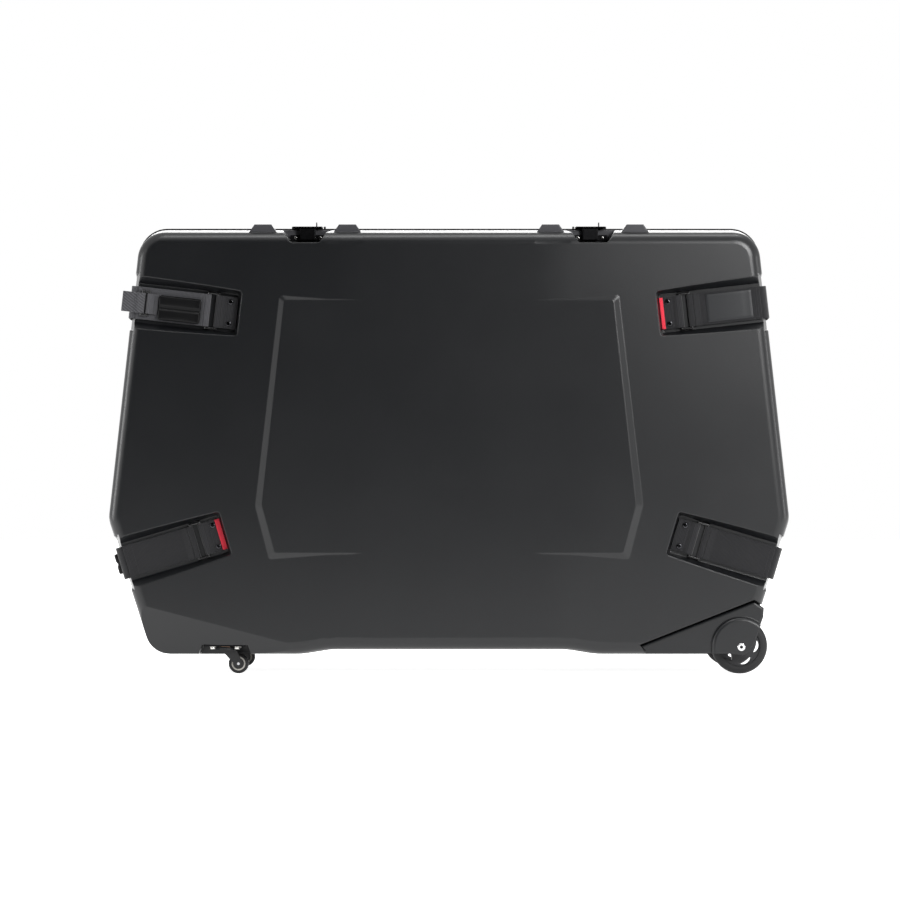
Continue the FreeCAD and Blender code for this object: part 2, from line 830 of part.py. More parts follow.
def middle_panel(body, name):
    """The flat raised panel; its sloped sides come out of the falling face only towards the ends."""
    shrink = d.panel_rise * tangent(d.panel_facet_angle)
    loops = []
    for inwards in (ZERO, shrink):
        right = [(d.panel_low_half - inwards, d.panel_low + inwards),
                 (d.panel_bend_half - inwards, d.panel_bend),
                 (d.panel_top_half - inwards, panel_top - inwards)]
        loops.append(right + [(-across, up) for across, up in reversed(right)])
    base = polygons(body, name + "_panel_base", loops[:1], d.half_depth - d.panel_rise)
    face = polygons(body, name + "_panel_face", loops[1:], d.half_depth)
    loft(body, "AdditiveLoft", name + "_panel", base, face)
    low, bend, high, left_high, left_bend, left_low = [
        ((outer[0] + inner[0]) / 2, (outer[1] + inner[1]) / 2) for outer, inner in zip(*loops)]

    def climbs_near(places):
        spots = [(across.value, up.value) for across, up in places]

        def near(edge):
            start, end = ends(edge)
            middle = edge.CenterOfMass
            return abs(start.y - end.y) > d.wall.value and any(
                math.hypot(middle.x - across, middle.z - up) < shrink.value for across, up in spots)

        return near

    corners = (low, high, left_high, left_low)
    fillet(body, name + "_panel_corners", d.panel_corner_radius, climbs_near(corners))
    fillet(body, name + "_panel_bends", d.panel_bend_radius, climbs_near((bend, left_bend)))


def rim_seat(body, name):
    """Cut the open edge back to the plane where the rim starts."""
    end = d.widest_half + d.outside_margin
    above = d.top_height + d.outside_margin
    below = d.low_height - d.outside_margin
    sketch = polygons(body, name + "_seat_outline", [rectangle(-end, below, end, above)])
    pocket(body, name + "_seat", sketch, d.rim_depth, True)


def mirrored(source, name, normal):
    """The mirror image of an object in a plane through the origin."""
    image = document.addObject("Part::Mirroring", name)
    image.Source = source
    image.Normal = normal
    return image


def left_of(source, name):
    return mirrored(source, name, FreeCAD.Vector(1, 0, 0))


def back_of(source, name):
    return mirrored(source, name, FreeCAD.Vector(0, 1, 0))


def linked(source, name, x, y, z):
    """The same piece again at another place."""
    link = document.addObject("App::Link", name)
    link.LinkedObject = source
    for axis, size in zip("xyz", (x, y, z)):
        bind(link, "Placement.Base." + axis, size)
    return link


def grouped(name, things):
    group = document.addObject("Part::Compound", name)
    group.Links = things
    return group


def cut_by(name, base, tool):
    result = document.addObject("Part::Cut", name)
    result.Base = base
    result.Tool = tool
    return result


def ribs(body, name):
    """Four flat-topped ribs across the sloping top, two beside each latch."""
    loops = []
    for side in (-1, 1):
        for step in (-1, 1):
            middle = side * d.latch_place + step * d.rib_from_latch
            loops.append([(middle - d.rib_base_half, rib_base), (middle + d.rib_base_half, rib_base),
                          (middle + d.rib_top_half, rib_top), (middle - d.rib_top_half, rib_top)])
    sketch = polygons(body, name + "_rib_outline", loops, d.rim_depth)
    pad(body, name + "_ribs", sketch, rib_length)


def edge_ring(name, outer_grow, inner_grow, start, length, flip):
    """A ring that follows the open edge, between two outlines; flip takes it towards the back."""
    body = new_body(name)
    grows = (outer_grow, inner_grow)
    loops = [rim_outline(grow) for grow in grows]
    sketch = polygons(body, name + "_outline", loops, start)
    pad(body, name + "_ring", sketch, length, flip)
    for label, loop, grow in zip(("inside", "outside"), reversed(loops), reversed(grows)):
        round_corners(body, "%s_%s" % (name, label), loop, grow, d.groove_clearance)
    return body


def rims():
    """A tongued frame on the front half, a grooved one on the back half, and the seal in the groove."""
    face = d.parting_gap / 2
    height = d.rim_depth - face
    tongue_outer = -d.tongue_inset
    tongue_inner = -d.tongue_inset - d.tongue_width
    spare = d.groove_clearance
    front_frame = edge_ring("front_frame", d.rim_lip, -d.rim_width, face, height, False)
    root = d.rim_depth / 2
    tongue = edge_ring("tongue", tongue_outer, tongue_inner, root, root + d.tongue_length, True)
    front = document.addObject("Part::Fuse", "front_rim")
    front.Base = front_frame
    front.Tool = tongue
    back_frame = edge_ring("back_frame", d.rim_lip, -d.rim_width, -face, height, True)
    depth = d.groove_depth + d.parting_gap
    groove = edge_ring("groove", tongue_outer + spare, tongue_inner - spare, face, depth, True)
    back = cut_by("back_rim", back_frame, groove)
    bed = d.seal_height - d.groove_depth - face
    seal = edge_ring("rim_seal", tongue_outer, tongue_inner, bed, d.seal_height, True)
    return front, back, seal


def on_strap(name, place):
    """A body whose X runs outwards along a right-hand strap and whose Z runs across it."""
    body = new_body(name)
    tilt = place[4]
    rises = tilt.value >= 0
    turn = tilt if rises else -tilt
    axis = FreeCAD.Vector(0, -1 if rises else 1, 0)
    body.Placement = FreeCAD.Placement(FreeCAD.Vector(place[2].value, 0, place[3].value),
                                       FreeCAD.Rotation(axis, turn.value))
    bind(body, "Placement.Base.x", place[2])
    bind(body, "Placement.Base.z", place[3])
    bind(body, "Placement.Rotation.Angle", turn)
    return body


def band(body, name, loop, half):
    """A piece of even width across the strap, from its outline seen along the strap's edge."""
    sketch = polygons(body, name + "_outline", [loop], -half, "XY_Plane")
    return pad(body, name, sketch, half * 2)


def at_bend(edge, out, depth):
    middle = edge.CenterOfMass
    return runs_along(edge, 2) and math.hypot(middle.x - out.value, middle.y - depth.value) < TOUCH


def eyed_band(name, place, loop, half, bar_near, bar_far, bar_under, bar_over):
    """Folded webbing with an eye sewn into it for one bar of a ring."""
    body = on_strap(name, place)
    band(body, name + "_block", loop, half)
    spare = d.soft_clearance
    eye = rectangle(bar_near - spare, -bar_over - spare, bar_far + spare, -bar_under + spare)
    sketch = polygons(body, name + "_eye_outline", [eye], half, "XY_Plane")
    pocket(body, name + "_eye", sketch, half * 2)
    return body


def strap_tab(name, place):
    """Folded webbing screwed to the recess floor, with an eye for the ring's inner bar."""
    floor = -recess_floor
    loop = [(-d.tab_start, floor), (-d.tab_end, floor), (-d.tab_end, -fold_over),
            (-d.tab_rise_end, -fold_over), (-d.tab_rise_start, -tab_over), (-d.tab_start, -tab_over)]
    body = eyed_band(name, place, loop, d.web_half, -d.ring_inner, -d.ring_inner + d.ring_wire,
                     ring_under, ring_over)
    screw_holes(body, name, tab_over)
    return body


def screw_holes(body, name, front):
    radius = d.screw_radius + d.screw_clearance
    rounds = [(-d.screw_place, -d.screw_spread, radius), (-d.screw_place, d.screw_spread, radius)]
    sketch = circles(body, name + "_hole_outline", rounds, front)
    pocket(body, name + "_holes", sketch, d.half_depth)


def wire_ring(name, place, inner, outer, half, wire, under):
    """A rectangle of round-edged wire lying on the strap."""
    body = on_strap(name, place)
    rim = rectangle(-inner, -half, -outer, half)
    hole = rectangle(-inner + wire, -half + wire, -outer - wire, half - wire)
    sketch = polygons(body, name + "_outline", [rim, hole], under)
    pad(body, name + "_bars", sketch, wire)
    fillet(body, name + "_round", d.ring_edge_radius, lambda edge: not runs_along(edge, 1))
    return body


def strap_ring(name, place):
    return wire_ring(name, place, d.ring_inner, d.ring_outer, d.ring_half, d.ring_wire, ring_under)


def carry_ring(name, place):
    return wire_ring(name, place, d.carry_ring_inner, d.carry_ring_outer, d.carry_ring_half,
                     d.carry_ring_wire, carry_ring_under)


def carry_loop(name, place):
    """Sewn loop that ties the grip to the near bar of its ring."""
    near = -d.carry_grip_end
    bar = -d.carry_ring_inner
    end = bar + d.carry_ring_wire + d.soft_clearance + d.carry_web
    flat = carry_under + d.carry_web * 2
    loop = [(near, -carry_under), (end, -carry_under), (end, -carry_over),
            (bar - d.soft_clearance, -carry_over), (bar - d.carry_rise, -flat), (near, -flat)]
    return eyed_band(name, place, loop, d.carry_web_half, bar, bar + d.carry_ring_wire,
                     carry_ring_under, carry_ring_over)


def carry_tail(name, place):
    """Loose end of the carry strap, doubled back round the ring's far bar and standing out past the side."""
    bar = -d.carry_ring_outer
    near = bar - d.carry_ring_wire - d.soft_clearance - d.carry_web
    middle = (carry_under + carry_over) / 2
    loop = [(near, -carry_under), (bar + d.soft_clearance, -carry_under),
            (bar + d.carry_rise, d.carry_web - middle), (d.carry_tail_reach, d.carry_web - middle),
            (d.carry_tail_reach, -middle - d.carry_web), (bar + d.carry_rise, -middle - d.carry_web),
            (bar + d.soft_clearance, -carry_over), (near, -carry_over)]
    return eyed_band(name, place, loop, d.carry_web_half, bar - d.carry_ring_wire, bar,
                     carry_ring_under, carry_ring_over)


def strap_front(name, place):
    """The strap from the parting plane round the corner and through the ring."""
    body = on_strap(name, place)
    start = d.parting_gap / -2
    fold_out = fold_in - d.web
    loop = [(strap_side_out, start), (d.strap_corner_out, -strap_over), (fold_in, -strap_over),
            (fold_in, -fold_under), (stub_end, -fold_under), (stub_end, -fold_over), (fold_out, -fold_over),
            (fold_out, -strap_under), (strap_corner_in, -strap_under), (strap_side_in, start)]
    band(body, name + "_band", loop, d.web_half)
    fillet(body, name + "_inner_bend", d.strap_bend_radius,
           lambda edge: at_bend(edge, strap_corner_in, -strap_under))
    fillet(body, name + "_outer_bend", d.strap_bend_radius + d.web,
           lambda edge: at_bend(edge, d.strap_corner_out, -strap_over))
    return body


def strap_flap(name, place):
    """The loose end, folded back over the strap and held there by hook and loop."""
    body = on_strap(name, place)
    end = -d.flap_end
    loop = [(flap_start, -fold_under), (flap_flat, -flap_under), (end, -flap_under), (end, -flap_over),
            (flap_flat, -flap_over), (flap_start, -fold_over)]
    band(body, name + "_band", loop, d.web_half)
    return body


def strap_back(name, place):
    """The strap from the parting plane round to its screwed end on the back half."""
    body = on_strap(name, place)
    start = d.parting_gap / 2
    loop = [(strap_side_out, start), (d.strap_corner_out, strap_over), (-d.anchor_start, strap_over),
            (-d.anchor_start, strap_under), (strap_corner_in, strap_under), (strap_side_in, start)]
    band(body, name + "_band", loop, d.web_half)
    fillet(body, name + "_inner_bend", d.strap_bend_radius,
           lambda edge: at_bend(edge, strap_corner_in, strap_under))
    fillet(body, name + "_outer_bend", d.strap_bend_radius + d.web,
           lambda edge: at_bend(edge, d.strap_corner_out, strap_over))
    screw_holes(body, name, ZERO)
    return body


def slab(name, place, left, right, low, high, half):
    """A plain flat piece lying on a strap."""
    body = on_strap(name, place)
    band(body, name + "_block", rectangle(left, low, right, high), half)
    return body


def two_ridges(foot, way, middle, half, valley, thickness):
    """Section of a padded grip: a flat foot and two rounded ridges side by side; way is 1 or -1, outwards."""
    rise = thickness - valley
    half_chord = half / 2
    radius = (half_chord * half_chord + rise * rise) / (rise * 2)
    seam = foot + valley * way
    low = middle - half
    high = middle + half
    return [(foot, high), (foot, low), (seam, low, radius, way), (seam, middle, radius, way), (seam, high)]


def carry_grip(name, place):
    """Padded grip lying on the flap, cut away below where the flap climbs to its ring."""
    body = on_strap(name, place)
    section = two_ridges(-flap_over, -1, -d.carry_grip_shift, d.carry_grip_half, d.carry_grip_valley,
                         d.carry_grip_thickness)
    sketch = polygons(body, name + "_section", [section], -d.carry_grip_start, "YZ_Plane")
    pad(body, name + "_ridges", sketch, d.carry_grip_start - d.carry_grip_end)
    wedge = [(flap_start, -flap_over), (flap_flat, -flap_over), (flap_start, -fold_over)]
    sketch = polygons(body, name + "_wedge_outline", [wedge], d.web_half, "XY_Plane")
    pocket(body, name + "_wedge", sketch, d.web_half * 2)
    return body


def backing_plate(name, place):
    body = on_strap(name, place)
    near = recess_floor - d.wall - d.plate_thickness
    loop = rectangle(-d.screw_place - d.plate_half_across, -d.plate_half_up,
                     -d.screw_place + d.plate_half_across, d.plate_half_up)
    sketch = polygons(body, name + "_outline", [loop], near)
    pad(body, name + "_block", sketch, d.plate_thickness)
    screw_holes(body, name, recess_floor)
    return body


def anchor_plate(name, place):
    body = on_strap(name, place)
    loop = rectangle(-d.anchor_start, strap_over, -d.anchor_start + d.anchor_length, tab_over)
    band(body, name + "_block", loop, d.web_half)
    screw_holes(body, name, ZERO)
    return body


def side_grip(name, place):
    """Padded grip on the side run of the strap, behind the parting plane."""
    body = on_strap(name, place)
    lean = (strap_side_out - d.strap_corner_out) / strap_over
    sketches = []
    for label, depth in (("near", d.side_grip_near), ("far", side_grip_far)):
        foot = strap_side_out + d.soft_clearance - lean * depth
        section = two_ridges(foot, 1, ZERO, d.side_grip_half, d.side_grip_valley, d.side_grip_thickness)
        sketches.append(polygons(body, "%s_%s_section" % (name, label), [section], -depth))
    loft(body, "AdditiveLoft", name + "_ridges", *sketches)
    return body


def round_head(name, radius, head_radius, head_height, length):
    """A fastener along Y with its seat at the origin and its domed head towards the front."""
    body = new_body(name)
    sketch = circles(body, name + "_shank_outline", [(ZERO, ZERO, radius)])
    pad(body, name + "_shank", sketch, length, True)
    sketch = circles(body, name + "_head_outline", [(ZERO, ZERO, head_radius)])
    pad(body, name + "_head", sketch, head_height)
    fillet(body, name + "_dome", head_height * DOME_SHARE,
           lambda edge: is_circle(edge, head_radius) and edge.CenterOfMass.y < -TOUCH)
    return body


def drill(name, radius, length):
    """A cutter along Y, from the origin towards the back."""
    body = new_body(name)
    sketch = circles(body, name + "_outline", [(ZERO, ZERO, radius)])
    pad(body, name + "_bar", sketch, length, True)
    return body


def strap_screw_points():
    points = []
    for place in strap_places():
        for spread in (-d.screw_spread, d.screw_spread):
            points.append(along_strap(place, -d.screw_place, spread))
    return points


def rivet_points():
    return [(side * d.latch_place + step * d.rivet_place, rivet_height)
            for side in (-1, 1) for step in (-1, 1)]


def spread_out(source, name, points, y):
    """The same fastener at each point of the front view."""
    return [linked(source, "%s_%d" % (name, number), across, y, up)
            for number, (across, up) in enumerate(points, start=1)]


def latch_plate(body, name, start, flip):
    loop = rectangle(-d.latch_plate_half, latch_plate_low, d.latch_plate_half, latch_plate_high)
    sketch = polygons(body, name + "_plate_outline", [loop], start)
    pad(body, name + "_plate", sketch, d.latch_plate_thickness, flip)


def rivet_holes(body, name, start, flip):
    radius = d.rivet_radius + d.screw_clearance
    rounds = [(step * d.rivet_place, rivet_height, radius) for step in (-1, 1)]
    sketch = circles(body, name + "_rivet_outline", rounds, start)
    pocket(body, name + "_rivet_holes", sketch, d.latch_plate_thickness, flip)


def latch_keeper(name):
    body = new_body(name)
    latch_plate(body, name, d.latch_recess_wall, False)
    block = rectangle(-d.keeper_half, latch_plate_low, d.keeper_half, keeper_top)
    sketch = polygons(body, name + "_block_outline", [block], d.latch_recess_wall)
    pad(body, name + "_block", sketch, d.keeper_depth)
    front = -(d.latch_recess_wall + d.keeper_depth).value
    fillet(body, name + "_edges", d.keeper_edge_radius, lambda edge: abs(edge.CenterOfMass.y - front) < TOUCH)
    rivet_holes(body, name, d.latch_recess_wall, True)
    return body


def latch_base(name):
    """Riveted plate with two lugs that carry the lever's pin above the rim."""
    body = new_body(name)
    latch_plate(body, name, -d.latch_recess_wall, True)
    ear = d.lug_radius
    foot = d.latch_recess_wall + d.latch_plate_thickness
    loop = [(d.latch_recess_wall, latch_plate_low), (foot, latch_plate_low),
            (d.lever_pin_y + ear, lever_pin_z - ear), (d.lever_pin_y + ear, lever_pin_z, ear, 1),
            (d.lever_pin_y, lever_pin_z + ear, ear, 1), (d.lever_pin_y - ear, lever_pin_z),
            (d.latch_recess_wall, lever_pin_z - ear)]
    for number, start in enumerate((-d.latch_plate_half, d.latch_plate_half - d.lug_thickness), start=1):
        sketch = polygons(body, "%s_lug_outline_%d" % (name, number), [loop], start, "YZ_Plane")
        pad(body, "%s_lug_%d" % (name, number), sketch, d.lug_thickness)
    radius = d.lever_pin_radius + d.screw_clearance
    sketch = circles(body, name + "_pin_outline", [(*pin_centre, radius)], d.latch_plate_half, "YZ_Plane")
    pocket(body, name + "_pin_hole", sketch, d.latch_plate_half * 2)
    rivet_holes(body, name, -d.latch_recess_wall, False)
    return body


def latch_lever(name):
    """Plate that lies over the rim and the keeper, with its barrel and an upright padlock eye."""
    body = new_body(name)
    loop = rectangle(-d.lever_reach, lever_low, d.lever_pin_y, lever_low + d.lever_thickness)
    sketch = polygons(body, name + "_plate_outline", [loop], -d.lever_half, "YZ_Plane")
    pad(body, name + "_plate", sketch, d.lever_half * 2)
    barrel = (*pin_centre, d.lever_barrel_radius)
    sketch = circles(body, name + "_barrel_outline", [barrel], -d.lever_half, "YZ_Plane")
    pad(body, name + "_barrel", sketch, d.lever_half * 2)
    foot = lever_low + d.lever_thickness / 2
    top = lever_low + d.lever_thickness + d.eye_height
    loop = rectangle(-d.eye_far, foot, -d.eye_near, top)
    sketch = polygons(body, name + "_eye_outline", [loop], d.eye_place, "YZ_Plane")
    pad(body, name + "_eye", sketch, d.eye_thickness)
    middle = -(d.eye_near + d.eye_far) / 2
    level = lever_low + d.lever_thickness + d.eye_height / 2
    end = d.eye_place + d.eye_thickness
    sketch = circles(body, name + "_eye_hole_outline", [(middle, level, d.eye_hole_radius)], end, "YZ_Plane")
    pocket(body, name + "_eye_hole", sketch, d.eye_thickness)
    radius = d.lever_pin_radius + d.lever_pin_clearance
    sketch = circles(body, name + "_bore_outline", [(*pin_centre, radius)], d.lever_half, "YZ_Plane")
    pocket(body, name + "_bore", sketch, d.lever_half * 2)
    return body


def latch_pin(name):
    body = new_body(name)
    bar = (*pin_centre, d.lever_pin_radius)
    sketch = circles(body, name + "_outline", [bar], -d.latch_plate_half, "YZ_Plane")
    pad(body, name + "_bar", sketch, d.latch_plate_half * 2)
    return body


def wheel_housing(name):
    """Moulded corner with a slot for the wheel between two cheeks."""
    body = new_body(name)
    across = notch_outer_x - notch_inner_x
    up = d.notch_outer_z - d.notch_inner_z
    run = length_of(across, up)
    gap_x, gap_z = d.housing_gap * up / run, d.housing_gap * across / run
    loop = [(notch_foot_x + d.housing_gap, d.low_height), (housing_low_x, d.low_height),
            (housing_toe_x, d.housing_toe_z), (housing_boss_x, d.housing_boss_z),
            (housing_waist_x, d.housing_waist_z), (housing_side_x, d.housing_side_z),
            (housing_right_x, d.housing_right_z), (notch_outer_x + gap_x, d.notch_outer_z - gap_z - gap_x),
            (notch_inner_x + gap_x * 2, d.notch_inner_z - gap_z)]
    sketch = polygons(body, name + "_outline", [loop], notch_back)
    pad(body, name + "_block", sketch, housing_face - notch_back)
    left = wheel_place - d.cheek_radius
    right = wheel_place + d.cheek_radius
    above = d.wheel_radius + d.cheek_radius
    below = d.low_height - d.outside_margin
    beyond = right + d.outside_margin
    ceiling = above + d.outside_margin
    far = notch_inner_x - d.outside_margin
    around = [(left, d.wheel_radius, d.cheek_radius, -1), (wheel_place, above, d.cheek_radius, -1),
              (right, d.wheel_radius), (beyond, d.wheel_radius), (beyond, ceiling), (far, ceiling),
              (far, below), (left, below)]
    sketch = polygons(body, name + "_cheek_outline", [around], housing_face)
    pocket(body, name + "_cheek", sketch, d.cheek_rise)
    proud = -housing_face.value
    fillet(body, name + "_cheek_edge", d.cheek_edge_radius,
           lambda edge: abs(edge.CenterOfMass.y - proud) < TOUCH and is_circle(edge, d.cheek_radius))
    level = (d.cheek_rise - housing_face).value
    edge_low = d.notch_inner_z.value
    fillet(body, name + "_edges", d.housing_edge_radius,
           lambda edge: abs(edge.CenterOfMass.y - level) < TOUCH and edge.Curve.TypeId == "Part::GeomLine"
           and edge.CenterOfMass.z > edge_low)
    near = wheel_depth - d.wheel_slot_width / 2
    sketch = circles(body, name + "_slot_outline", [(*wheel_centre, d.wheel_slot_radius)], near)
    pocket(body, name + "_slot", sketch, d.wheel_slot_width, True)
    bore = (*wheel_centre, d.axle_radius + d.seat_clearance)
    sketch = circles(body, name + "_bore_outline", [bore], notch_back)
    pocket(body, name + "_bore", sketch, housing_face, True)
    return body


def wheel_axle(name):
    body = new_body(name)
    sketch = circles(body, name + "_shank_outline", [(*wheel_centre, d.axle_radius)], notch_back)
    pad(body, name + "_shank", sketch, housing_face - notch_back)
    sketch = circles(body, name + "_head_outline", [(*wheel_centre, d.axle_head_radius)], housing_face)
    pad(body, name + "_head", sketch, d.axle_head_height)
    seat = -housing_face.value - TOUCH
    fillet(body, name + "_dome", d.axle_head_height / 2,
           lambda edge: is_circle(edge, d.axle_head_radius) and edge.CenterOfMass.y < seat)
    return body


def tyre(name, centre, depth, inner_radius, width, edge_radius):
    """A tyre round an axle along Y, resting on the floor."""
    body = new_body(name)
    radius = centre[1]
    rounds = [(*centre, radius), (*centre, inner_radius)]
    sketch = circles(body, name + "_outline", rounds, depth - width / 2)
    pad(body, name + "_ring", sketch, width)
    fillet(body, name + "_tread", edge_radius, lambda edge: is_circle(edge, radius))
    return body


def wheel_core(name):
    """Spoked core with five lens-shaped windows and a seat for a bearing in each side."""
    body = new_body(name)
    near = wheel_depth - d.core_width / 2
    far = wheel_depth + d.core_width / 2
    disc = (*wheel_centre, d.tyre_inner_radius - d.seat_clearance)
    sketch = circles(body, name + "_outline", [disc], near)
    pad(body, name + "_disc", sketch, d.core_width)
    loops = []
    for step in range(WINDOW_COUNT):
        angle = as_size(step * FULL_TURN / WINDOW_COUNT)

        def turned(out, up):
            return (wheel_place + out * cosine(angle) - up * sine(angle),
                    d.wheel_radius + out * sine(angle) + up * cosine(angle))

        loops.append([(*turned(d.window_centre, -d.window_half), d.window_outer_radius, 1),
                      (*turned(d.window_centre, d.window_half), d.window_inner_radius, 1)])
    sketch = polygons(body, name + "_window_outline", loops, near)
    pocket(body, name + "_windows", sketch, d.core_width, True)
    sketch = circles(body, name + "_bore_outline", [(*wheel_centre, d.axle_radius * 2)], near)
    pocket(body, name + "_bore", sketch, d.core_width, True)
    for side, (start, flip) in enumerate(((near, True), (far, False)), start=1):
        seat = (*wheel_centre, d.bearing_radius)
        sketch = circles(body, "%s_seat_outline_%d" % (name, side), [seat], start)
        pocket(body, "%s_seat_%d" % (name, side), sketch, d.bearing_width, flip)
    return body


def wheel_bearings(name):
    rings = []
    for side, start in enumerate((wheel_depth - d.core_width / 2,
                                  wheel_depth + d.core_width / 2 - d.bearing_width), start=1):
        body = new_body("%s_%d" % (name, side))
        rounds = [(*wheel_centre, d.bearing_radius - d.seat_clearance),
                  (*wheel_centre, d.axle_radius + d.axle_clearance)]
        sketch = circles(body, "%s_outline_%d" % (name, side), rounds, start)
        pad(body, "%s_ring_%d" % (name, side), sketch, d.bearing_width)
        rings.append(body)
    return grouped(name, rings)


def caster_plate(name):
    """Fixed plate with the race and the headed pin that the fork turns on."""
    body = new_body(name)
    loop = rectangle(caster_x - d.caster_plate_half, -caster_depth - d.caster_plate_half_depth,
                     caster_x + d.caster_plate_half, -caster_depth + d.caster_plate_half_depth)
    sketch = polygons(body, name + "_outline", [loop], caster_roof, "XY_Plane")
    pad(body, name + "_block", sketch, d.caster_plate_thickness)
    for part, radius, high, height in (("race", d.race_radius, caster_roof, d.race_height),
                                       ("pin", d.kingpin_radius, race_low, race_low - pin_low),
                                       ("head", d.kingpin_head_radius, pin_low, d.kingpin_head_height)):
        disc = (caster_x, -caster_depth, radius)
        sketch = circles(body, "%s_%s_outline" % (name, part), [disc], high, "XY_Plane")
        pad(body, "%s_%s" % (name, part), sketch, height, True)
    return body


def caster_fork(name):
    body = new_body(name)
    rounds = [(caster_x, -caster_depth, d.fork_crown_radius),
              (caster_x, -caster_depth, d.kingpin_radius + d.axle_clearance)]
    sketch = circles(body, name + "_crown_outline", rounds, crown_low, "XY_Plane")
    pad(body, name + "_crown", sketch, d.fork_crown_height)
    foot = d.fork_foot_half
    level = d.caster_wheel_radius
    shoulder = caster_x + d.fork_crown_radius - d.fork_shoulder_gap
    loop = [(caster_x - foot, crown_low), (caster_wheel_x - foot, level, foot, 1),
            (caster_wheel_x, level - foot, foot, 1), (caster_wheel_x + foot, level), (shoulder, crown_high),
            (caster_x - foot, crown_high)]
    inside = d.caster_wheel_width / 2 + d.fork_gap
    for number, start in enumerate((caster_depth + inside, caster_depth - inside - d.fork_arm), start=1):
        sketch = polygons(body, "%s_arm_outline_%d" % (name, number), [loop], start)
        pad(body, "%s_arm_%d" % (name, number), sketch, d.fork_arm)
    bore = (*caster_wheel_centre, d.caster_axle_radius + d.screw_clearance)
    sketch = circles(body, name + "_bore_outline", [bore])
    pocket(body, name + "_bore", sketch, d.half_depth, True)
    return body


def caster_axle(name):
    body = new_body(name)
    reach = d.caster_wheel_width / 2 + d.fork_gap + d.fork_arm + d.caster_axle_overhang
    bar = (*caster_wheel_centre, d.caster_axle_radius)
    sketch = circles(body, name + "_outline", [bar], caster_depth - reach)
    pad(body, name + "_bar", sketch, reach * 2)
    return body


def caster_hub(name):
    body = new_body(name)
    rounds = [(*caster_wheel_centre, d.caster_tyre_inner_radius - d.seat_clearance),
              (*caster_wheel_centre, d.caster_hub_bore)]
    sketch = circles(body, name + "_outline", rounds, caster_depth - d.caster_wheel_width / 2)
    pad(body, name + "_disc", sketch, d.caster_wheel_width)
    return body


def foam_mat(name):
    body = new_body(name)
    loop = rectangle(-mat_half, mat_low, mat_half, mat_high)
    sketch = polygons(body, name + "_outline", [loop], mat_face - d.mat_thickness)
    pad(body, name + "_block", sketch, d.mat_thickness)
    return body


def tie_straps(name):
    bands = []
    for number, side in enumerate((-1, 1), start=1):
        body = new_body("%s_%d" % (name, number))
        middle = side * d.tie_place
        loop = rectangle(middle - d.tie_half, mat_low + d.tie_end, middle + d.tie_half, mat_high - d.tie_end)
        sketch = polygons(body, "%s_outline_%d" % (name, number), [loop], d.mat_thickness - mat_face)
        pad(body, "%s_band_%d" % (name, number), sketch, d.tie_thickness)
        bands.append(body)
    return grouped(name, bands)


def tie_buckles(name):
    seat = mat_face - d.mat_thickness - d.tie_thickness
    inner = (seat - d.tie_buckle_thickness).value
    half = d.tie_buckle_half
    blocks = []
    for number, side in enumerate((-1, 1), start=1):
        body = new_body("%s_%d" % (name, number))
        middle = side * d.tie_place
        loop = rectangle(middle - half, tie_buckle_low, middle + half, tie_buckle_high)
        sketch = polygons(body, "%s_outline_%d" % (name, number), [loop], -seat)
        pad(body, "%s_block_%d" % (name, number), sketch, d.tie_buckle_thickness)
        fillet(body, "%s_edges_%d" % (name, number), d.tie_buckle_radius,
               lambda edge: abs(edge.CenterOfMass.y - inner) < TOUCH)
        blocks.append(body)
    return grouped(name, blocks)


nodes = {}

outer_form = shell_form("outer_form", ZERO)
ribs(outer_form, "outer_form")
middle_panel(outer_form, "outer_form")
rim_seat(outer_form, "outer_form")
carve(outer_form, "outer_form", ZERO)
inner_form = shell_form("inner_form", d.wall)
carve(inner_form, "inner_form", d.wall)
hollow_shell = cut_by("hollow_shell", outer_form, inner_form)

screw_drill = drill("screw_drill", d.screw_radius + d.screw_clearance, d.drill_length)
rivet_drill = drill("rivet_drill", d.rivet_radius + d.screw_clearance, d.drill_length)
drills = spread_out(screw_drill, "screw_drill", strap_screw_points(), -recess_floor - d.wall)
drills += spread_out(rivet_drill, "rivet_drill", rivet_points(), -d.latch_recess_wall - d.wall)
nodes["front_shell"] = cut_by("front_shell", hollow_shell, grouped("drills", drills))
nodes["back_shell"] = back_of(nodes["front_shell"], "back_shell")
nodes["front_rim"], nodes["back_rim"], nodes["rim_seal"] = rims()

places = strap_places()
tabs, rings, plates, anchors = [], [], [], []
for place in places:
    if place[1] < 0:
        continue
    right = place[0]
    left = right.replace("right", "left")
    for pile, maker, kind in ((tabs, strap_tab, "tab"), (rings, strap_ring, "ring"),
                              (plates, backing_plate, "plate"), (anchors, anchor_plate, "anchor")):
        piece = maker("%s_%s" % (right, kind), place)
        pile += [piece, left_of(piece, "%s_%s" % (left, kind))]
    for maker, kind in ((strap_front, "strap_front"), (strap_flap, "flap"), (strap_back, "strap_back")):
        nodes["%s_%s" % (right, kind)] = maker("%s_%s" % (right, kind), place)
        nodes["%s_%s" % (left, kind)] = left_of(nodes["%s_%s" % (right, kind)], "%s_%s" % (left, kind))
nodes["strap_tabs"] = grouped("strap_tabs", tabs)
nodes["strap_rings"] = grouped("strap_rings", rings)
nodes["front_backing_plates"] = grouped("front_backing_plates", plates)
nodes["back_backing_plates"] = back_of(nodes["front_backing_plates"], "back_backing_plates")
nodes["back_strap_anchors"] = grouped("back_strap_anchors", anchors)

